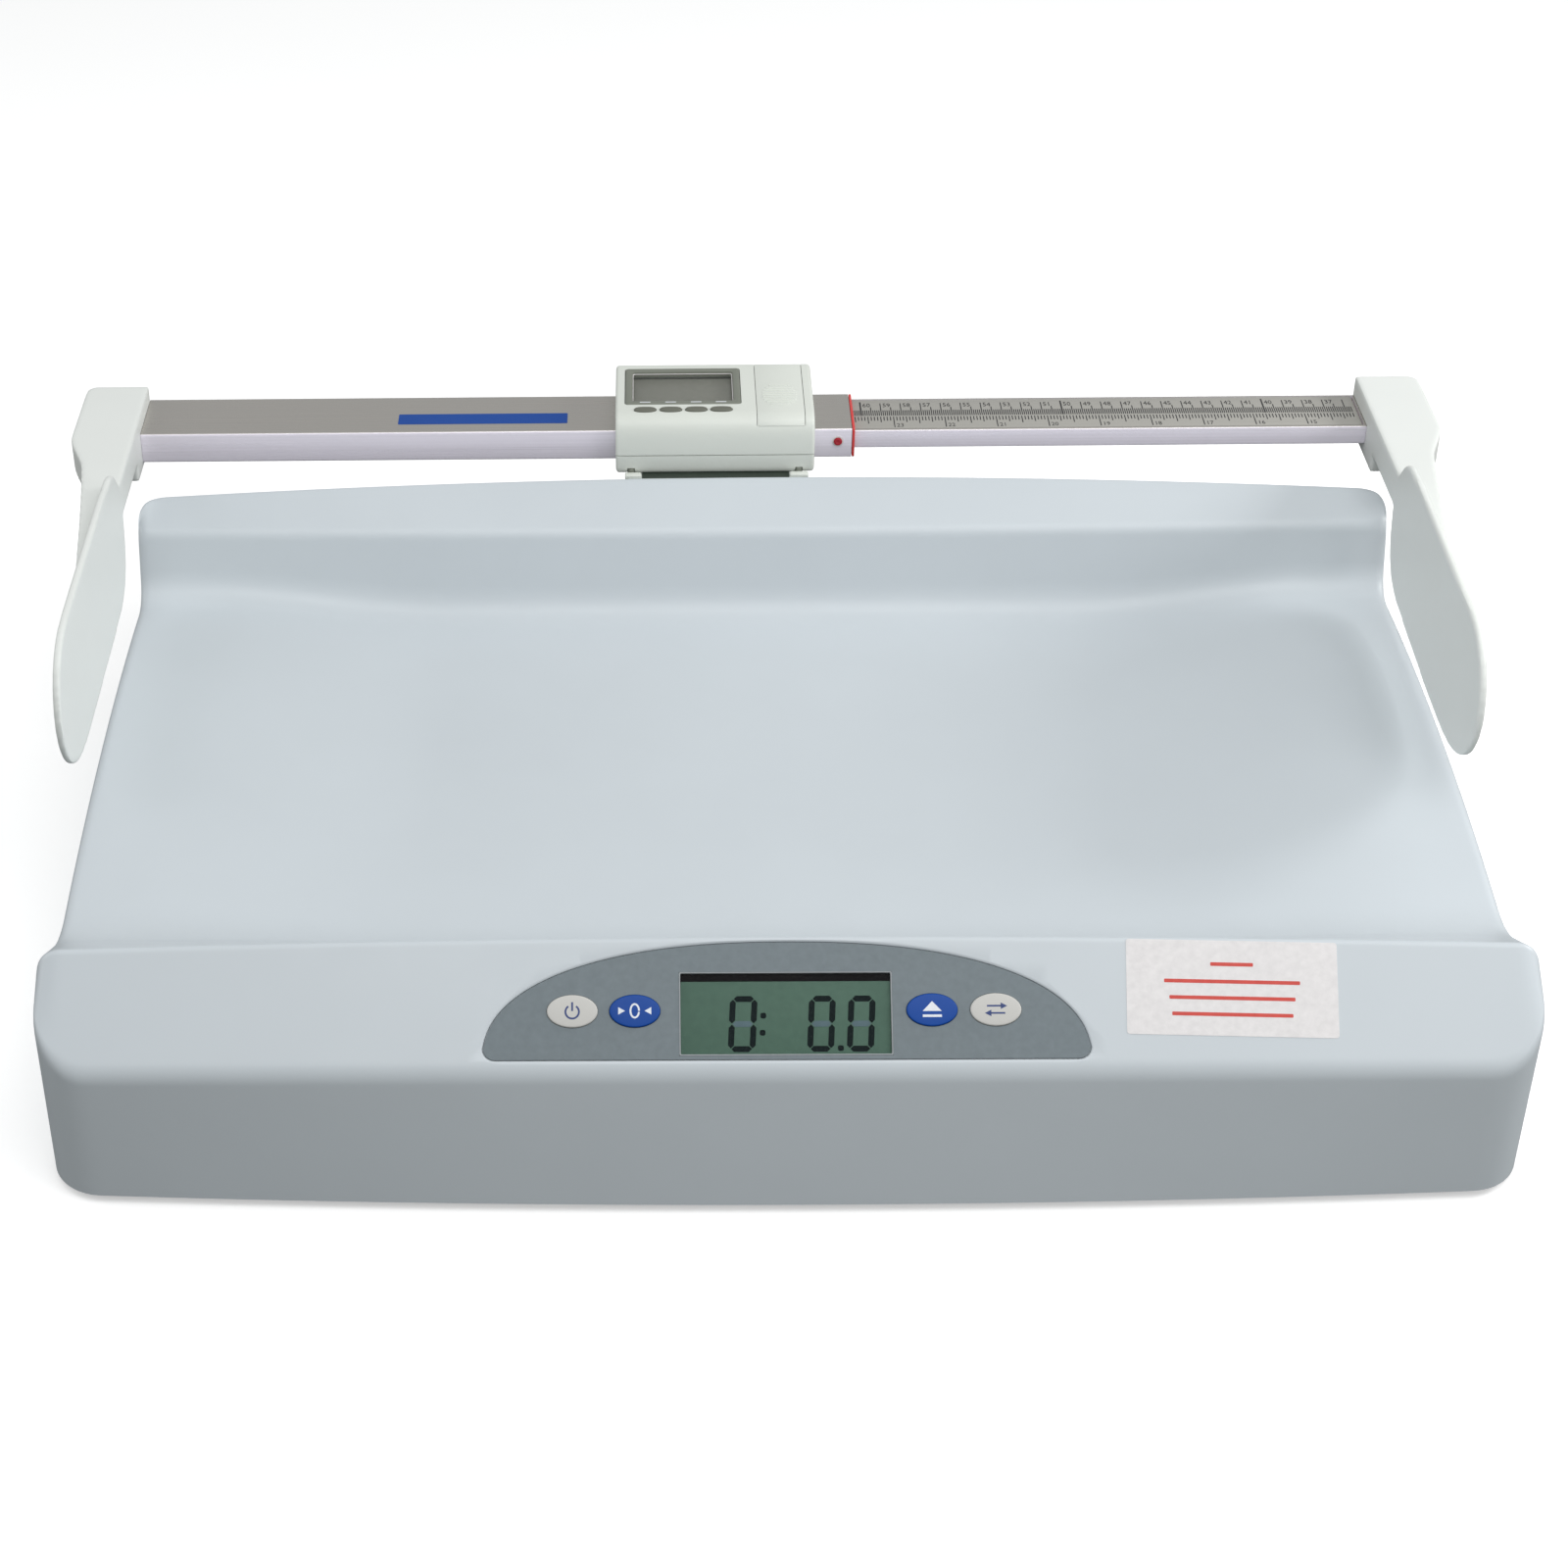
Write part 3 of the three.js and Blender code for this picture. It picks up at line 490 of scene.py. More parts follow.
def tray_corners(x):
    """Corners [y, z, ease] of the outer section, from the front foot over the top to the back foot."""
    t2 = (x / HALF_WIDTH) ** 2
    distance = HALF_WIDTH - abs(x)
    plan = round_in(distance, CORNER)
    edge = round_in(distance, 4.5)
    ridge = round_in(distance, 10)
    back = BACK_Y - BACK_BOW * t2 - round_in(distance, 12)
    return [
        [FRONT_Y - FRONT_BOW * (1 - t2) + plan, SHELL_FOOT_Z, 0],
        [FRONT_Y + plan, FRONT_TOP_Z + PANEL_SLOPE * plan - edge, 5],
        [RIDGE_Y - 3 * t2, RIDGE_Z - 3 * t2 - ridge, 2.2],
        [-138, floor_z(x, -138) - edge, 16],
        *([y, floor_z(x, y) - edge, 0] for y in FLOOR_STEPS if y <= 100),
        [118.5, floor_z(x, 118.5) - edge, 13],
        [CREASE_Y, CREASE_Z + 2 * t2 - edge, 4],
        [back, BACK_Z - 3 * t2 - edge, 4],
        [back, SHELL_FOOT_Z, 0],
    ]


def eased(corners, steps):
    """The corners joined up, each turned into a curve over its ease length on both sides."""
    line = []
    for i, (y, z, ease) in enumerate(corners):
        if not ease:
            line.append((y, z))
            continue
        ends = []
        for other in (corners[i - 1], corners[i + 1]):
            share = ease / hypot(other[0] - y, other[1] - z)
            ends.append((y + (other[0] - y) * share, z + (other[1] - z) * share))
        for k in range(steps + 1):
            t = k / steps
            line.append(tuple((1 - t) ** 2 * ends[0][n] + 2 * t * (1 - t) * (y, z)[n] + t * t * ends[1][n]
                              for n in (0, 1)))
    return line


def refined(line, shares):
    made = []
    for (start, end), inner in zip(zip(line, line[1:]), shares):
        made += [tuple(a + (b - a) * s for a, b in zip(start, end)) for s in inner]
    return [*made, line[-1]]


def share_plan(line):
    """Where each straight run gets its extra points: close to both ends, and evenly between."""
    plan = []
    for start, end in zip(line, line[1:]):
        length = hypot(end[0] - start[0], end[1] - start[1])
        if length < 9:
            plan.append([0])
            continue
        near = 1.2 / length
        count = ceil(length / 9)
        plan.append([0, near, *(k / count for k in range(1, count)), 1 - near])
    return plan


def inner_line(x, steps):
    """The corners moved inwards by the skin, and run out through the open underside."""
    corners = tray_corners(x)
    sides = []
    for (y0, z0, _), (y1, z1, _) in zip(corners, corners[1:]):
        length = hypot(y1 - y0, z1 - z0)
        along = ((y1 - y0) / length, (z1 - z0) / length)
        sides.append(((y0 + along[1] * SKIN, z0 - along[0] * SKIN), along))
    inner = []
    for i, (_, _, ease) in enumerate(corners):
        if i in (0, len(sides)):
            (y, z), along = sides[min(i, len(sides) - 1)]
            reach = (-SHELL_FOOT_Z - z) / along[1]
            inner.append([y + along[0] * reach, -SHELL_FOOT_Z, 0])
            continue
        (y0, z0), (ay, az) = sides[i - 1]
        (y1, z1), (by, bz) = sides[i]
        cross = ay * bz - az * by
        if abs(cross) < 1e-4:
            inner.append([y1, z1, 0])
            continue
        reach = ((y1 - y0) * bz - (z1 - z0) * by) / cross
        inner.append([y0 + ay * reach, z0 + az * reach, ease])
    return eased(inner, steps)


PANEL = tilted(0, FRONT_Y, FRONT_TOP_Z, degrees(atan(PANEL_SLOPE)))


def on_panel(solid):
    """From the panel's own frame, x along it, y up the slope and z out of it, to its place."""
    return moved(solid, PANEL)


OVERLAY_HALF = 121
OVERLAY_LOW = 5.8
OVERLAY_RISE = 47.1
LCD_HALF = 42.3
LCD_LOW = 7.6
LCD_HIGH = 40.7
SEGMENT_HEIGHTS = (-1.62, -1.5)
KEY_Y = 25.3
KEYS = (("key_on_off", -85.3, "key_white"), ("key_zero", -60.3, "key_blue"),
        ("key_release", 58.3, "key_blue"), ("key_units", 83.7, "key_white"))


def overlay_outline(margin, steps=96):
    """The arch: a superellipse over a straight foot whose corners are rounded."""
    half, rise, low = OVERLAY_HALF + margin, OVERLAY_RISE + margin, OVERLAY_LOW - margin
    power = 2 / 2.3
    corner = 5 + margin
    line = []
    for k in range(13):
        angle = pi / 2 * k / 12
        line.append((half - corner + corner * sin(angle) * 0.98, low + corner * 0.9 * (1 - cos(angle))))
    left_corner = [(-x, y) for x, y in reversed(line)]
    for k in range(1, steps):
        angle = pi * k / steps
        side, up = cos(angle), sin(angle)
        x = (1 if side >= 0 else -1) * half * abs(side) ** power
        y = OVERLAY_LOW + rise * up ** power
        if y > low + corner * 0.9:
            line.append((x, y))
    return line + left_corner


def mirrored(right):
    """Places on both sides of the middle, from those on the right."""
    return [-x for x in right] + [0] + right[::-1]


def tray_shell():
    near = [0, 0.1, 0.35, 0.8, 1.4, 2.2, 3.2, 4.5, 6, 7.8, 10, 12.2, 14, 16, 19, 22, 26]
    outer = mirrored([HALF_WIDTH - d for d in near] + [270 - 7.5 * k for k in range(36)])
    inner = mirrored([HALF_WIDTH - SKIN, HALF_WIDTH - 5, HALF_WIDTH - 9, 286, 262, 238, 211, 180, 150, 75])
    plan = share_plan(eased(tray_corners(0), 9))
    skin = loft([[(x, y, z) for y, z in refined(eased(tray_corners(x), 9), plan)] for x in outer])
    hollow = loft([[(x, y, z) for y, z in inner_line(x, 3)] for x in inner])
    shell = carve(raw("tray_shell_skin", skin), hollow)
    flare = ((0.3, -1.3), (0.3, -0.8), (0.42, -0.45), (0.75, -0.15), (1.2, 0.03), (1.7, 0.14), (1.7, 6))
    pocket = loft([[(x, y, w) for x, y in overlay_outline(m)] for m, w in flare])
    window = boxed(-LCD_HALF - 3, LCD_HALF + 3, LCD_LOW - 1.5, LCD_HIGH + 1.5, -12, 2)
    key_holes = [prism(oval(x, KEY_Y, 21.6, 14.4), -12, 2) for _, x, _ in KEYS]
    carve(shell, *(on_panel(tool) for tool in (pocket, window, *key_holes)))
    carve(shell, pin("y", *INLET, 140, 170, 4.2), *(pin("y", x, 100, 140, 170, 2) for x in BRACKET_SCREW_X))
    return add_piece(shell, "shell", stands_for=("tray_shell",), smooth=28)


def inlet():
    """The power socket behind its hole in the back wall."""
    back = BACK_Y - BACK_BOW * (INLET[0] / HALF_WIDTH) ** 2
    barrel = raw("power_inlet", pin("y", *INLET, back - 14, back - 0.9, 4.0, 48))
    carve(barrel, pin("y", *INLET, back - 12, back + 1, 3.1, 40))
    soften(barrel, 0.3)
    add_piece(barrel, "black")
    add_piece(("power_inlet_pin", pin("y", *INLET, back - 12.5, back - 3, 0.8, 24)), "steel")


# ---- display panel
def overlay():
    sheet = raw("overlay_sheet", on_panel(prism(overlay_outline(0), -1, -0.15)))
    opening = boxed(-LCD_HALF - 0.3, LCD_HALF + 0.3, LCD_LOW - 0.3, LCD_HIGH + 0.3, -3, 3)
    holes = [prism(oval(x, KEY_Y, 20.7, 13.5), -3, 3) for _, x, _ in KEYS]
    carve(sheet, *(on_panel(tool) for tool in (opening, *holes)))
    add_piece(sheet, "overlay", stands_for=("overlay",))


def seven_segments(x0, x1, y0, y1, stroke, lean):
    """The seven bars of a digit, a to g, each a bar with mitred ends."""
    gap = 0.28
    half = stroke / 2
    middle = (y0 + y1) / 2

    def across(y):
        a, b = x0 + half + gap, x1 - half - gap
        low, high = y - half, y + half
        return [(a, y), (a + half, low), (b - half, low), (b, y), (b - half, high), (a + half, high)]

    def standing(x, low, high):
        a, b = low + gap, high - gap
        left, right = x - half, x + half
        return [(x, a), (right, a + half), (right, b - half), (x, b), (left, b - half), (left, a + half)]

    bars = {
        "a": across(y1 - half), "g": across(middle), "d": across(y0 + half),
        "f": standing(x0 + half, middle, y1 - half), "b": standing(x1 - half, middle, y1 - half),
        "e": standing(x0 + half, y0 + half, middle), "c": standing(x1 - half, y0 + half, middle),
    }
    return {k: [(x + (y - y0) * lean, y) for x, y in bar] for k, bar in bars.items()}


def display():
    """The display's cell, digits with unlit middle bars, a black band of painted shade under the window's
    upper edge, pane and surround.
    """
    module = boxed(-LCD_HALF - 2, LCD_HALF + 2, LCD_LOW - 0.8, LCD_HIGH + 0.8, -6.5, -1.6)
    module = soften(raw("display_cell", on_panel(module)), 0.25)
    add_piece(module, "lcd", stands_for=("display_module",))
    on, off = [], []
    for x0, x1 in ((-23.3, -12.3), (8.3, 19.0), (24.1, 34.9)):
        for name, bar in seven_segments(x0, x1, 8.9, 31.4, 2.35, 0.055).items():
            (off if name == "g" else on).append(prism(bar, *SEGMENT_HEIGHTS))
    for x, y in ((-8.9, 23.5), (-9.3, 16.6), (21.8, 10.3)):
        on.append(prism(oval(x, y, 2.3, 2.3, 24, 3.0), *SEGMENT_HEIGHTS))
    add_piece(("display_digits", on_panel(merge(*on))), "lcd_on")
    add_piece(("display_unlit_bars", on_panel(merge(*off))), "lcd_off")
    # black band across the top of the cell: painted shade under the window's upper edge
    band = boxed(-LCD_HALF + 0.2, LCD_HALF - 0.2, 37.3, LCD_HIGH - 0.2, -1.62, -1.45)
    add_piece(("display_top_shade", on_panel(band)), "lcd_band")
    pane = raw("display_pane", on_panel(boxed(-LCD_HALF, LCD_HALF, LCD_LOW, LCD_HIGH, -1, -0.62)))
    add_piece(soften(pane, 0.1, 2), "glass", stands_for=("display_window",))
    section = ((0.02, -1.5), (0.02, -0.1), (0.12, -0.02), (0.42, -0.05), (0.55, -0.4), (0.55, -1.5))
    surround = bezel(-LCD_HALF - 0.25, LCD_HALF + 0.25, LCD_LOW - 0.25, LCD_HIGH + 0.25, section, 0.5, 3)
    add_piece(("display_surround", on_panel(surround)), "rim")


def stroke(start, end, width):
    """The outline of a straight line of that width."""
    (x0, y0), (x1, y1) = start, end
    length = hypot(x1 - x0, y1 - y0)
    nx, ny = -(y1 - y0) / length * width / 2, (x1 - x0) / length * width / 2
    return [(x0 - nx, y0 - ny), (x1 - nx, y1 - ny), (x1 + nx, y1 + ny), (x0 + nx, y0 + ny)]


def ring_line(x, y, rx, ry, start, end, width, steps=36):
    """An arc of an oval drawn with that width, as one closed outline."""
    out, back = [], []
    for k in range(steps + 1):
        angle = radians(start + (end - start) * k / steps)
        out.append((x + (rx + width / 2) * cos(angle), y + (ry + width / 2) * sin(angle)))
        back.append((x + (rx - width / 2) * cos(angle), y + (ry - width / 2) * sin(angle)))
    return out + back[::-1]


def icons():
    """Plain signs for the four keys: power, zero, release and swap."""
    x = {name: place for name, place, _ in KEYS}
    y = KEY_Y
    on_off, zero, release, units = (x[n] for n in ("key_on_off", "key_zero", "key_release", "key_units"))
    return {
        "key_on_off": ("ink_blue", [ring_line(on_off, y - 0.3, 2.7, 2.7, 125, 415, 0.75),
                                    stroke((on_off, y), (on_off, y + 3.6), 0.75)]),
        "key_zero": ("ink_white", [ring_line(zero, y, 1.7, 2.7, 0, 350, 0.75),
                                   [(zero - 6.6, y + 1.5), (zero - 6.6, y - 1.5), (zero - 3.9, y)],
                                   [(zero + 6.6, y - 1.5), (zero + 6.6, y + 1.5), (zero + 3.9, y)]]),
        "key_release": ("ink_white", [[(release - 3.8, y - 0.6), (release + 3.8, y - 0.6),
                                       (release, y + 3.4)],
                                      stroke((release - 3.8, y - 2.5), (release + 3.8, y - 2.5), 1.0)]),
        "key_units": ("ink_blue", [stroke((units - 3.6, y + 1.4), (units + 2.2, y + 1.4), 0.7),
                                   [(units + 1.9, y + 0.1), (units + 4.5, y + 1.4), (units + 1.9, y + 2.7)],
                                   stroke((units - 2.2, y - 1.5), (units + 3.6, y - 1.5), 0.7),
                                   [(units - 1.9, y - 2.8), (units - 1.9, y - 0.2), (units - 4.5, y - 1.5)]]),
    }


def panel_keys():
    signs = icons()
    for name, x, look in KEYS:
        cap = domed(lambda inset, x=x: oval(x, KEY_Y, 20.4 - 2 * inset, 13.2 - 2 * inset),
                    -2.5, 0.72, 0.7, 6, 0.18)
        stem = boxed(x - 3, x + 3, KEY_Y - 3, KEY_Y + 3, -8.4, -2.4)
        key = raw(name + "_cap", on_panel(merge(cap, stem)))
        add_piece(key, look, name, (name,))
        ink, outlines = signs[name]
        sign = merge(*(prism(outline, 0.5, 0.92) for outline in outlines))
        add_piece((name + "_sign", on_panel(sign)), ink, name)


def notice():
    """A blank sticker with plain bars, stuck on a little askew."""
    turn = PANEL @ Matrix.Translation((178, 33.4, 0)) @ Matrix.Rotation(radians(-1.5), 4, "Z")
    plate = raw("notice_sticker", moved(prism(rounded(-42.0, 42.0, -19.2, 19.2, 1.2), -0.25, 0.16), turn))
    add_piece(plate, "film", stands_for=("notice_blank",))
    bars = []
    for y, half in ((9.6, 8.5), (2.6, 27), (-4.0, 25), (-10.6, 24)):
        bars.append(prism(rounded(-half, half, y - 0.75, y + 0.75, 0.3, 2), 0.1, 0.2))
    add_piece(("notice_bars", moved(merge(*bars), turn)), "ink_red")


# ---- measuring rod
SLEEVE = dict(low=-302, high=49.3, front=176, back=213.5, floor=129.8, top=145.8, wall=1.7)
ROD = dict(low=-30, high=322, front=178, back=211.5, floor=134, top=143.8)
RIVET = (42.5, 139)  # x and z
RULE_Y = 192.5  # between the two scales
CENTIMETRE_35_X = 305
INCH_ZERO_X = 655


def tube(outer, inner, x0, x1):
    """A square tube along X from its outer and inner outlines in Y and Z, of equal length."""
    rings = [[(x, y, z) for y, z in line] for x, line in ((x0, outer), (x1, outer), (x1, inner), (x0, inner))]
    rings.append(rings[0])
    return loft(rings, cap=False)


def sleeve():
    s = SLEEVE
    outer = rounded(s["front"], s["back"], s["floor"], s["top"], 1.3, 5)
    wall = s["wall"]
    inner = rounded(s["front"] + wall, s["back"] - wall, s["floor"] + wall, s["top"] - wall, 0.2, 5)
    body = raw("rod_sleeve_tube", tube(outer, inner, s["low"], s["high"]))
    carve(body, boxed(-47, 8, s["front"] + 8, s["back"] - 8, s["top"] - 4, s["top"] + 4),
          pin("y", *RIVET, 172, 179, 1.2))
    add_piece(body, "aluminium", stands_for=("rod_sleeve",))
    stripe = prism(rounded(-175, -91, 184.2, 194.6, 0.6, 3), s["top"] - 0.05, s["top"] + 0.12)
    add_piece(("sleeve_stripe", stripe), "key_blue")

    hole = rounded(ROD["front"] - 0.3, ROD["back"] + 0.3, ROD["floor"] - 0.3, ROD["top"] + 0.3, 0.4, 5)
    ring = raw("index_ring_red", tube(outer, hole, s["high"] + 0.3, s["high"] + 1.5))
    add_piece(soften(ring, 0.25, 2), "red", stands_for=("index_ring",))

    face = tilted(RIVET[0], s["front"], RIVET[1], 90)
    rivet = upright(0, 0, 0.8, 0.3, -1.5, 32)
    head = turned([[0, 0.3], [2.05, 0.3], [2.1, 0.7], [1.9, 1.05], [1.2, 1.25], [0.9, 1.1], [0, 1.1]],
                  0, 0, 48)
    add_piece(("sleeve_rivet_head", moved(merge(rivet, head), face)), "rivet",
              stands_for=("sleeve_rivet",))
    washer = turned([[2.2, 0.05], [2.9, 0.05], [2.9, 0.2], [2.2, 0.3], [2.2, 0.05]], 0, 0, 48)
    washer = moved((washer[0], washer[1][:-2]), face)
    add_piece(("sleeve_rivet_ring", washer), "film")


def rod():
    r = ROD
    top, groove = r["top"], r["top"] - 1.2
    outer = rounded(r["front"], r["back"], r["floor"], top, 0.9, 5)
    inner = rounded(r["front"] + 3, r["back"] - 3, r["floor"] + 2.5, top - 3.5, 0.8, 5)
    bar = raw("inner_rod_bar", tube(outer, inner, r["low"], r["high"]))
    carve(bar, boxed(r["low"] + 6, 301, r["front"] + 1.5, r["back"] - 1.5, groove, top + 1))
    add_piece(bar, "aluminium", "sliding_arm", ("inner_rod",))
    tape = raw("scale_tape_film", boxed(r["low"] + 7, 300, r["front"] + 1.8, r["back"] - 1.8, top - 0.3, top))
    add_piece(soften(tape, 0.08, 2), "tape", "sliding_arm", ("scale_tape",))


def mark(x, y0, y1, width):
    return boxed(x - width / 2, x + width / 2, y0, y1, ROD["top"] - 0.05, ROD["top"] + 0.03)


def number(text, x, y, height):
    """The mesh of a narrow number printed on the tape, its left end at x."""
    curve = bpy.data.curves.new("digits", "FONT")
    curve.body = text
    curve.size = height / 0.7
    curve.extrude = 0.04
    curve.resolution_u = 2
    curve.align_y = "CENTER"
    obj = bpy.data.objects.new("digits", curve)
    bpy.context.scene.collection.objects.link(obj)
    bpy.context.view_layer.update()
    mesh = bpy.data.meshes.new_from_object(obj.evaluated_get(bpy.context.evaluated_depsgraph_get()))
    points = [(x + v.co.x * 0.72, y + v.co.y, ROD["top"] + v.co.z) for v in mesh.vertices]
    faces = [list(p.vertices) for p in mesh.polygons]
    bpy.data.objects.remove(obj)
    bpy.data.curves.remove(curve)
    bpy.data.meshes.remove(mesh)
    return points, faces


def reach_of(count, reaches):
    """The length of a mark: that of the first step that divides its count."""
    return next(reach for step, reach in reaches if count % step == 0)


def scale_print():
    """Centimetres and millimetres along the back edge, inches and sixteenths along the front."""
    first, last = ROD["low"] + 9, 298.5
    marks, numbers = [], []
    for millimetre in range(353, 675):
        x = CENTIMETRE_35_X + 350 - millimetre
        if not first < x < last:
            continue
        reach = reach_of(millimetre, ((100, 15.0), (10, 13.6), (5, 9.4), (1, 6.2)))
        marks.append(mark(x, RULE_Y + 0.6, RULE_Y + reach, 0.8 if millimetre % 100 == 0 else 0.5))
        if millimetre % 10 == 0 and x + 6 < last:
            numbers.append(number(str(millimetre // 10), x + 1.0, RULE_Y + 11.4, 3.9))
    for sixteenth in range(14 * 16, 27 * 16 + 1):
        x = INCH_ZERO_X - 25.4 * sixteenth / 16
        if not first < x < last:
            continue
        reach = reach_of(sixteenth, ((16, 11.6), (8, 7.6), (4, 6.2), (1, 4.6)))
        marks.append(mark(x, RULE_Y - reach, RULE_Y - 0.6, 0.5))
        if sixteenth % 16 == 0 and x + 6 < last:
            numbers.append(number(str(sixteenth // 16), x + 1.0, RULE_Y - 9.6, 3.6))
    add_piece(("scale_marks", merge(*marks)), "ink_black", "sliding_arm")
    add_piece(("scale_numbers", merge(*numbers)), "ink_black", "sliding_arm")


# ---- reader head
HEAD = dict(low=-70, high=27.5, front=163.5, back=224.5, floor=128.3, seam=138.3, top=157.3)
READER_KEY_X = (-55.4, -42.8, -30.3, -18)
READER_KEY_Y = 175.6
POST_X = (-62.5, 20)
POST_Y = 165.2
CLAMP_SCREW = (-21, 169)
DOOR_LIP_Z = 152.6  # how far down the brow the door reaches
OVER_CELL = 154.1  # the door's underside passes over the coin cell at this height


def head_profile(inset=0.0):
    """The head's section in Y and Z: a soft front brow, a chin and a tight back."""
    front, back = HEAD["front"] + inset, HEAD["back"] - inset
    floor, top = HEAD["floor"] + inset, HEAD["top"] - inset
    line = [(front + 2.6, floor)]
    for *controls, steps in (
        ((front + 1.2, floor), (front + 0.6, floor + 0.6), (front + 0.5, floor + 5.0), 8),
        ((front, floor + 9.0), (front, top - 14.0), (front + 0.6, top - 9.5), 8),
        ((front + 1.4, top - 3.6), (front + 4.0, top - 0.5), (front + 9.5, top), 12),
        ((front + 20, top), (back - 14, top), (back - 1.5, top), 6),
        ((back - 0.6, top), (back, top - 0.6), (back, top - 1.5), 6),
        ((back, top - 9), (back, floor + 9), (back, floor + 1.5), 4),
        ((back, floor + 0.6), (back - 0.6, floor), (back - 1.5, floor), 6),
    ):
        line += bezier(line[-1], *controls, steps)
    return line


def head_solid():
    """The head with rounded ends, as one closed form."""
    steps = 6
    radius = 1.6
    angles = [pi / 2 * k / steps for k in range(steps + 1)]
    ends = [(radius * (1 - cos(angle)), radius * (1 - sin(angle))) for angle in angles]
    lows = [(HEAD["low"] + depth, inset) for depth, inset in ends]
    highs = [(HEAD["high"] - depth, inset) for depth, inset in ends[::-1]]
    return loft([[(x, y, z) for y, z in head_profile(inset)] for x, inset in [*lows, *highs]])


def reader_cases():
    s = SLEEVE
    channel = boxed(-99, 99, s["front"] - 0.3, s["back"] + 0.3, s["floor"] - 0.3, s["top"] + 0.3)
    top_case = raw("reader_upper", head_solid())
    top = HEAD["top"]
    room = along_x([(166.5, s["top"] - 1), (166.5, 147.5), (170.5, 153.2), (174, top - 2.2),
                    (221.5, top - 2.2), (221.5, s["top"] - 1)], -67, 24.5)
    window = prism(rounded(-65.5, -8, 181, 219.5, 1.8), top - 3, top + 1)
    holes = [prism(oval(x, READER_KEY_Y, 11.2, 5.4, 48, 2.6), top - 4, top + 2) for x in READER_KEY_X]
    doorway = door_solid(0.28, 2.1)
    below = boxed(-99, 99, 100, 300, 100, HEAD["seam"] + 0.25)
    carve(top_case, below, channel, room, window, *holes, doorway)
    add_piece(top_case, "head", stands_for=("reader_top_case",))

    bottom = raw("reader_lower", head_solid())
    carve(bottom, boxed(-99, 99, 100, 300, HEAD["seam"] - 0.25, 200), channel)
    notches = [upright(x, POST_Y, 2.1, 124, 131.2, 32) for x in POST_X]
    carve(bottom, *notches, upright(*CLAMP_SCREW, 1.7, 116, 136, 24))
    add_piece(bottom, "head", stands_for=("reader_bottom_case",))
    pads = [turned([[0, 128.6], [1.8, 128.6], [1.8, 130.6], [1.4, 130.9], [0, 130.9]], x, POST_Y, 32)
            for x in POST_X]
    add_piece(("reader_lower_posts", merge(*pads)), "head_frame")


def door_line(inset):
    """The part of the head's section that the door follows, from low on the brow to the back."""
    return [(y, z) for y, z in head_profile(inset) if z > DOOR_LIP_Z + inset * 0.3 and y < 224]


def door_solid(margin, thick, lowest=0.0):
    """The sliding door as a shell of the head's own section. With a margin it is the tool that cuts the
    doorway: wider at the sides, proud of the head, lower at the lip and open at the back."""
    outer = [(y, z + (0.02 if margin else 0)) for y, z in door_line(-0.6 if margin else 0)]
    inner = [(y, max(z, lowest)) for y, z in door_line(thick)]
    if margin:
        for line in (outer, inner):
            line[-1] = (226, line[-1][1])
            line[0] = (line[0][0], line[0][1] - 0.35)
    count = min(len(outer), len(inner))
    return along_x([*outer[:count], *inner[:count][::-1]], -0.6 - margin, 22.6 + margin)


def door():
    panel = soften(raw("reader_door_panel", door_solid(0, 1.6, OVER_CELL)), 0.25, 2, 50)
    add_piece(panel, "head", "reader_door", ("reader_door",))
    ribs = []
    for i in range(-4, 5):
        half = 8.6 * sqrt(1 - (i / 4.9) ** 2)
        y = 190.5 + i * 2.5

        def outline(inset, half=half, y=y):
            return rounded(11 - half + inset, 11 + half - inset, y - 0.62 + inset, y + 0.62 - inset, 0.3, 3)

        ribs.append(domed(outline, HEAD["top"] - 0.4, HEAD["top"] + 0.42, 0.3, 3))
    add_piece(("reader_door_grip", merge(*ribs)), "head", "reader_door")


def reader_face():
    top = HEAD["top"]
    x0, x1, y0, y1 = -65.2, -8.3, 181.3, 219.2
    section = ((0, top - 2.7), (0, top - 0.1), (0.35, top + 0.3), (0.9, top + 0.4), (2.9, top + 0.35),
               (3.3, top + 0.1), (3.6, top - 0.9), (3.6, top - 2.7))
    surround = bezel(x0, x1, y0, y1, section, 1.5, 6)
    add_piece(("reader_window_frame", surround), "head_frame", stands_for=("reader_window",))
    pane = boxed(x0 + 3.4, x1 - 3.4, y0 + 3.4, y1 - 3.4, top - 1.7, top - 1.0)
    add_piece(("reader_pane", pane), "head_glass")
    section = ((3.65, top - 1.0), (3.65, top - 0.86), (3.85, top - 0.8), (4.0, top - 1.0))
    add_piece(("reader_window_lip", bezel(x0, x1, y0, y1, section, 1.0, 6)), "film")
    cell = raw("reader_display_cell", boxed(-62, -11, 184, 214.5, top - 5.6, top - 3.2))
    add_piece(soften(cell, 0.3), "head_lcd", stands_for=("reader_lcd",))
    dashes = [boxed(x - 2.6, x + 2.6, 182.6, 183.3, top + 0.3, top + 0.42) for x in READER_KEY_X]
    add_piece(("reader_key_dashes", merge(*dashes)), "ink_white")
    for i, x in enumerate(READER_KEY_X, 1):
        name = f"reader_key_{i}"
        cap = domed(lambda inset, x=x: oval(x, READER_KEY_Y, 10.7 - 2 * inset, 4.9 - 2 * inset, 48, 2.6),
                    top - 2.4, top + 0.8, 0.8, 6)
        stem = upright(x, READER_KEY_Y, 1.5, SLEEVE["top"] + 3.6, top - 2.3, 24)
        add_piece((name + "_cap", merge(cap, stem)), "head_key", name, (name,))


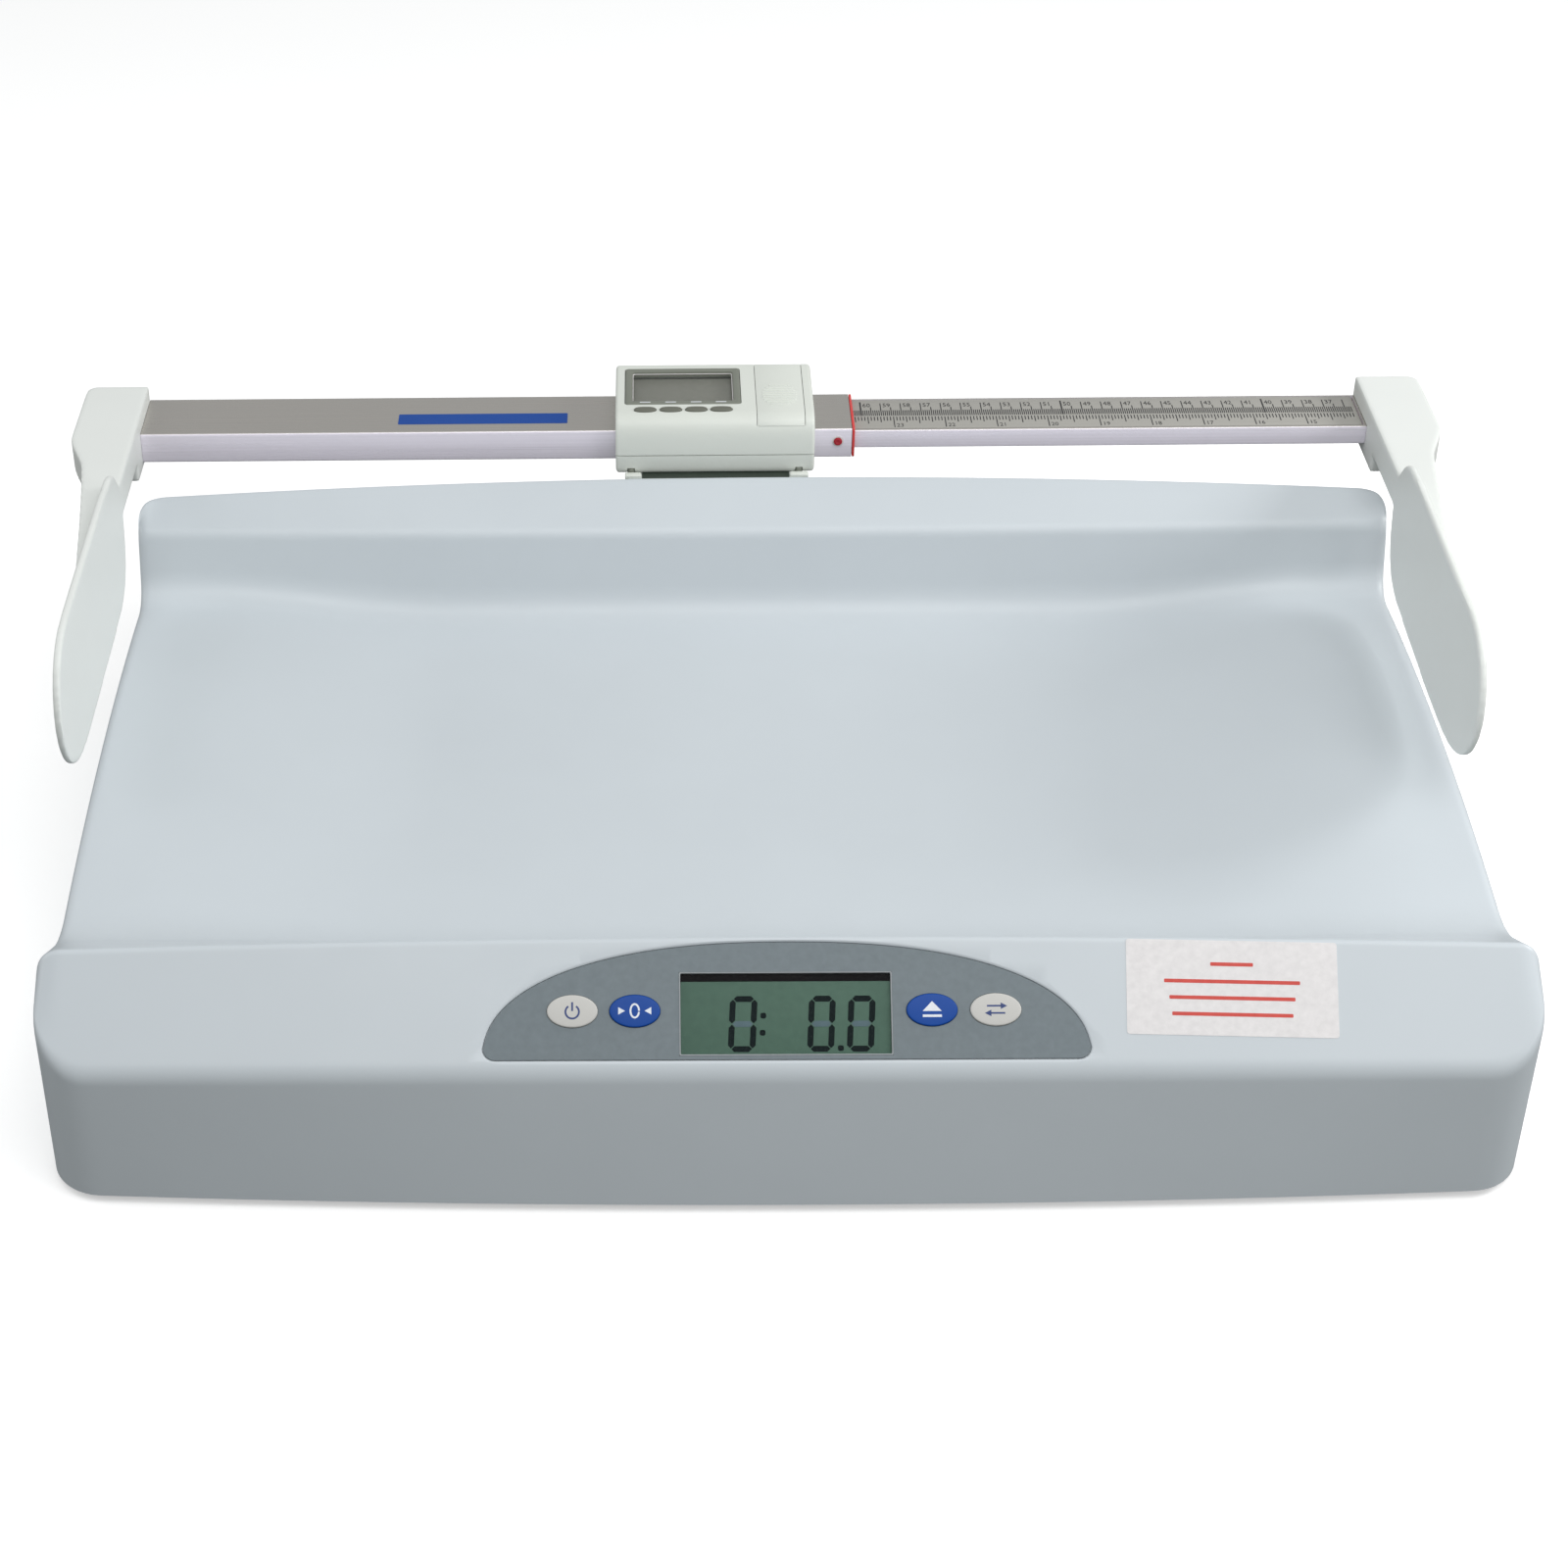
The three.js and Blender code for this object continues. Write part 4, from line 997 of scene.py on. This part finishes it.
# ---- rod bracket
def bracket():
    wall = boxed(-62, 20, BACK_Y + 0.8, BACK_Y + 4.8, 78, 124.5)
    shelf = boxed(-64, 22, BACK_Y + 0.8, 214, 123.8, 128)
    gusset = [(BACK_Y + 4, 84), (208, 124.5), (BACK_Y + 4, 124.5)]
    ribs = [along_x(gusset, x - 2, x + 2) for x in (-58, -34, 16)]
    body = raw("rod_bracket_body", wall)
    fuse(body, shelf, *ribs)
    carve(body, *(pin("y", x, 100, 150, 170, 2.2) for x in BRACKET_SCREW_X),
          upright(*CLAMP_SCREW, 2.2, 110, 140, 24))
    soften(body, 0.7, 3)
    add_piece(body, "bracket", stands_for=("rod_bracket",))
    for side, x0, x1 in (("left", -65.5, -57.5), ("right", 15.5, 24.5)):
        block = raw("rod_bracket_block_" + side, boxed(x0, x1, BACK_Y + 1.2, 163.4, 124.4, 129.6))
        add_piece(soften(block, 0.7, 3), "head")
    # a thin dark sheet in the gap between shelf and head: painted shade of that gap
    strip = raw("rod_bracket_gap_shade", boxed(-57.2, 15.2, BACK_Y + 1.0, 167, 127.9, 128.2))
    add_piece(soften(strip, 0.06, 1), "strip")
    for i, x in enumerate(BRACKET_SCREW_X, 1):
        add_screw(f"bracket_screw_{i}", 3.8, 2.5, 1.7, 16, tilted(x, BACK_Y + 5.1, 100, -90))
    add_screw("clamp_screw", 3.6, 2.4, 1.5, 10.6, tilted(*CLAMP_SCREW, 123.4, 180))


def add_screw(name, radius, height, shank, length, place, body="scale"):
    screw = screw_solid(name + "_head", radius, height, shank, length, place)
    add_piece(screw, "steel", body, (name,))


def screw_solid(name, radius, height, shank, length, place):
    """A pan-head screw with a cross recess: the head is above z = 0 and the shank below."""
    head = [[0, -length], [shank * 0.5, -length], [shank, -length + 1], [shank, 0], [radius, 0],
            [radius, height * 0.45], [radius * 0.9, height * 0.75], [radius * 0.62, height * 0.95],
            [radius * 0.2, height], [0, height]]
    body = raw(name, turned(head, 0, 0, 40))
    arm = radius * 0.62
    for angle in (0, 90):
        slot = moved(boxed(-arm, arm, -radius * 0.13, radius * 0.13, height * 0.35, height + 1),
                     Matrix.Rotation(radians(angle), 4, "Z"))
        carve(body, slot)
    body.data.transform(Matrix.Translation(place.translation * MM) @ place.to_3x3().to_4x4())
    return body


# ---- paddles
PADDLE_FACE = 302
PADDLE_OUT = 333
PADDLE_BACK = 213.5
ARM_TOP = 153.3
ARM_FLOOR = 136.3
SOCKET_FLOOR = 127.3
SOCKET_OUT = 326
SOCKET_FRONT = 161
LEAF_THICK = 3.6
RIGHT_LEAN = 2  # the right leaf leans in this far at its tip


def arm_outline():
    line = [(PADDLE_FACE, PADDLE_BACK), (PADDLE_FACE, -5), (PADDLE_FACE + LEAF_THICK, -5)]
    line += bezier(line[-1], (312, 40), (317, 95), (324, 134), 28)
    line += bezier(line[-1], (329.5, 150), (PADDLE_OUT, 154), (PADDLE_OUT, 165), 12)
    line.append((PADDLE_OUT, PADDLE_BACK - 9))
    line += bezier(line[-1], (PADDLE_OUT, PADDLE_BACK - 4), (332, PADDLE_BACK), (328, PADDLE_BACK), 10)
    return line


def leaf_outline():
    line = [(113, 134.3)]
    for p1, p2, p3 in (((110, 119), (106, 101.2), (78, 100.6)), ((45, 98.8), (5, 98.8), (-22, 98.8)),
                       ((-53, 98.8), (-67.5, 114), (-67.5, 133)), ((-67.5, 150), (-55, 167.3), (-30, 167.3)),
                       ((0, 168.3), (60, 168.3), (92, 166.8)),
                       ((102, 166.3), (107, 160), (112, ARM_TOP - 1))):
        line += bezier(line[-1], p1, p2, p3, 16)
    return line


def paddle_form(side):
    """The moulded arm and leaf in one, with its edges rounded by a fine remesh."""
    arm = prism(arm_outline(), ARM_FLOOR, ARM_TOP)
    leaf = along_x(leaf_outline(), PADDLE_FACE, PADDLE_FACE + LEAF_THICK)
    body = raw("paddle", arm)
    foot = boxed(PADDLE_FACE, SOCKET_OUT, SOCKET_FRONT, PADDLE_BACK - 0.3, SOCKET_FLOOR, ARM_FLOOR + 2)
    fuse(body, foot, leaf)
    remesh = body.modifiers.new("remesh", "REMESH")
    remesh.mode = "VOXEL"
    remesh.voxel_size = 1.1 * MM
    smooth = body.modifiers.new("smooth", "SMOOTH")
    smooth.factor = 0.5
    smooth.iterations = 7
    apply(body)
    if side > 0:
        for vertex in body.data.vertices:
            vertex.co.x -= RIGHT_LEAN * MM * (1 - smoothstep(vertex.co.y / MM, -20, 110))
    else:
        body.data.transform(Matrix.Scale(-1, 4, (1, 0, 0)))
        body.data.flip_normals()
    return body


def paddles():
    r, s = ROD, SLEEVE
    right = paddle_form(1)
    carve(right, boxed(297, r["high"] + 0.3, r["front"] - 0.3, r["back"] + 0.3,
                       r["floor"] - 0.3, r["top"] + 0.3))
    right.name = "right_paddle_form"
    add_piece(right, "paddle", "sliding_arm", ("right_paddle",), 40)
    left = paddle_form(-1)
    carve(left, boxed(-PADDLE_FACE - 0.3, -290, s["front"] - 0.3, s["back"] + 0.3,
                      s["floor"] - 0.3, s["top"] + 0.3))
    left.name = "left_paddle_form"
    add_piece(left, "paddle", stands_for=("left_paddle",), smooth=40)
    for name, side, body in (("left_paddle_screw", -1, "scale"), ("right_paddle_screw", 1, "sliding_arm")):
        add_screw(name, 3.4, 2.6, 1.4, 4.4, tilted(side * 317, 196, 127, 180), body)


# ---- base
PAN_Z = 5
FEET = (("front_left", -236, -150), ("front_right", 236, -150),
        ("rear_left", -236, 112), ("rear_right", 236, 112))
CASE_SCREWS = [(x, y) for x in (-272, 272) for y in (-40, 40)]
BATTERY = dict(left=-58, right=58, front=-66, back=-16)
FOOT_SECTION = [[0, 2.4], [3.5, 2.4], [3.5, 0.4], [3.9, 0], [6.6, 0], [6.8, 0.8], [7.4, 0.8], [7.6, 0],
                [10.2, 0], [10.4, 0.8], [11.0, 0.8], [11.2, 0], [13.5, 0], [14.9, 0.3], [16, 1.4], [16, 5.2],
                [15.6, 5.9], [13.5, 6.6], [0, 6.6]]


def pan_outline():
    half, inset, round_ = HALF_WIDTH - SKIN - 1.2, SKIN + 1.6, 20
    span = half - round_
    across = [span * (k / 16 - 1) for k in range(33)]

    def front(x):
        return FRONT_Y - FRONT_BOW * (1 - (x / HALF_WIDTH) ** 2) + inset

    def back(x):
        return BACK_Y - BACK_BOW * (x / HALF_WIDTH) ** 2 - inset

    turns = [pi / 2 * k / 8 for k in range(9)]
    near, far = front(half), back(half)
    right = [(span + round_ * sin(a), near + round_ * (1 - cos(a))) for a in turns[1:]]
    right += [(span + round_ * cos(a), far - round_ + round_ * sin(a)) for a in turns[:-1]]
    left = [(-x, y) for x, y in reversed(right)]
    return [(x, front(x)) for x in across] + right + [(x, back(x)) for x in reversed(across)] + left


def base():
    b = BATTERY
    pan = raw("base_pan_plate", prism(pan_outline(), PAN_Z, PAN_Z + 3))
    fuse(pan, *(boxed(x - 1.5, x + 1.5, -195, 135, PAN_Z + 1, PAN_Z + 9) for x in (-200, -110, 110, 200)))
    holes = [upright(x, y, 18, 0, 12) for _, x, y in FEET]
    holes += [upright(x, y, 2.4, 0, 12, 32) for x, y in CASE_SCREWS]
    carve(pan, boxed(b["left"], b["right"], b["front"], b["back"], 0, 12), *holes)
    panels = [boxed(x0, x1, y0, y1, PAN_Z - 1, PAN_Z + 0.8)
              for x0, x1 in ((-192, -118), (118, 192)) for y0, y1 in ((-185, -72), (-60, 20), (32, 125))]
    carve(pan, *panels)
    soften(pan, 0.5, 2)
    add_piece(pan, "pan", stands_for=("base_pan",))
    for place, x, y in FEET:
        pad = turned(FOOT_SECTION, x, y, 64)
        add_piece(("foot_" + place + "_rubber", pad), "rubber",
                  stands_for=("foot_pad_" + place,), smooth=50)
    for i, (x, y) in enumerate(CASE_SCREWS, 1):
        add_screw(f"case_screw_{i}", 4, 1.8, 1.7, 22, tilted(x, y, 4.7, 180))
    hatch = raw("battery_hatch_plate", boxed(b["left"] + 0.5, b["right"] - 0.5, b["front"] + 0.5,
                                             b["back"] - 8.5, PAN_Z, PAN_Z + 2.4))
    carve(hatch, *(pin("x", b["front"] + 8 + 3.2 * i, PAN_Z - 0.5, -14, 14, 1.1, 24) for i in range(5)))
    soften(hatch, 0.35, 2)
    add_piece(hatch, "pan", "battery_hatch", ("battery_hatch",))


# ---- stage
def stage():
    made = bmesh.new()
    bmesh.ops.create_circle(made, cap_ends=True, segments=96, radius=14)
    mesh = bpy.data.meshes.new("studio_floor")
    made.to_mesh(mesh)
    made.free()
    floor = bpy.data.objects.new("studio_floor", mesh)
    floor.location = (0, 0, -0.0002)
    bpy.context.scene.collection.objects.link(floor)
    mesh.materials.append(floor_material())
    studio_world()
    lamp("overhead", (1.8, 1.2), 16.8, (0.3, -0.65, 1.75), (0, 0, 0.1))
    lamp("right_box", (0.4, 0.3), 6.2, (1.25, 0.22, 0.62), (0, 0, 0.09), (1, 0.99, 0.98))
    lamp("front_right_box", (0.6, 0.4), 2.6, (1.05, -0.85, 0.6), (0.2, -0.1, 0.08))
    lamp("left_box", (0.9, 0.6), 2.6, (-1.2, 0.1, 0.6), (0, 0, 0.09))


def camera_ray_mix(tree, seen, lit, output):
    """Shows one shader to the camera, and lights the object with the other."""
    path = tree.nodes.new("ShaderNodeLightPath")
    mix = tree.nodes.new("ShaderNodeMixShader")
    tree.links.new(path.outputs["Is Camera Ray"], mix.inputs["Fac"])
    tree.links.new(lit, mix.inputs[1])
    tree.links.new(seen, mix.inputs[2])
    tree.links.new(mix.outputs["Shader"], output)


def floor_material():
    """White to the eye, but throwing little light back up at the object."""
    material = bpy.data.materials.new("studio_floor")
    material.use_nodes = True
    tree = material.node_tree
    tree.nodes.remove(tree.nodes["Principled BSDF"])
    white = tree.nodes.new("ShaderNodeBsdfDiffuse")
    white.inputs["Color"].default_value = (0.78, 0.78, 0.78, 1)
    glow = tree.nodes.new("ShaderNodeEmission")
    glow.inputs["Strength"].default_value = 0.42
    both = tree.nodes.new("ShaderNodeAddShader")
    tree.links.new(white.outputs["BSDF"], both.inputs[0])
    tree.links.new(glow.outputs["Emission"], both.inputs[1])
    dark = tree.nodes.new("ShaderNodeBsdfDiffuse")
    dark.inputs["Color"].default_value = (0.14, 0.145, 0.14, 1)
    camera_ray_mix(tree, both.outputs["Shader"], dark.outputs["BSDF"],
                   tree.nodes["Material Output"].inputs["Surface"])
    return material


def studio_world():
    world = bpy.data.worlds.new("studio")
    bpy.context.scene.world = world
    world.use_nodes = True
    tree = world.node_tree
    soft = tree.nodes["Background"]
    soft.inputs["Color"].default_value = (0.98, 1.0, 1.0, 1)
    soft.inputs["Strength"].default_value = 0.48
    white = tree.nodes.new("ShaderNodeBackground")
    white.inputs["Color"].default_value = (0.93, 0.93, 0.93, 1)
    camera_ray_mix(tree, white.outputs["Background"], soft.outputs["Background"],
                   tree.nodes["World Output"].inputs["Surface"])


def lamp(name, size, power, place, target, color=(1, 1, 1)):
    data = bpy.data.lights.new(name, "AREA")
    data.shape = "RECTANGLE"
    data.size, data.size_y = size
    data.energy = power
    data.color = color
    obj = bpy.data.objects.new(name, data)
    obj.location = place
    obj.rotation_euler = (Vector(target) - Vector(place)).to_track_quat("-Z", "Y").to_euler()
    bpy.context.scene.collection.objects.link(obj)


def camera():
    data = bpy.data.cameras.new("camera")
    obj = bpy.data.objects.new("camera", data)
    bpy.context.scene.collection.objects.link(obj)
    obj.location = (-0.0486, -1.1035, 0.8301)
    turn = Matrix.Rotation(radians(1.29), 4, "Z") @ Matrix.Rotation(radians(90 - 34.83), 4, "X")
    obj.rotation_euler = (turn @ Matrix.Rotation(radians(-1.08), 4, "Z")).to_euler()
    data.sensor_width = 36
    data.lens = 67.17
    data.shift_x = 0.1167
    data.shift_y = -0.0062
    data.clip_start = 0.05
    data.clip_end = 60
    bpy.context.scene.camera = obj
    bpy.context.scene.view_settings.view_transform = "Standard"


def cad_looks():
    """The inner parts stay as the CAD has them and get their finish here."""
    for name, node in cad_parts.items():
        if node.hide_render:
            continue
        key = next((k for k in sorted(CAD_LOOKS, key=len, reverse=True) if name.startswith(k)), None)
        if key is None:
            raise ValueError("no look for " + name)
        for slot in node.material_slots:
            slot.material = LOOKS[CAD_LOOKS[key]].material


camera()
stage()
tray_shell()
inlet()
overlay()
display()
panel_keys()
notice()
sleeve()
rod()
scale_print()
reader_cases()
door()
reader_face()
bracket()
paddles()
base()
cad_looks()
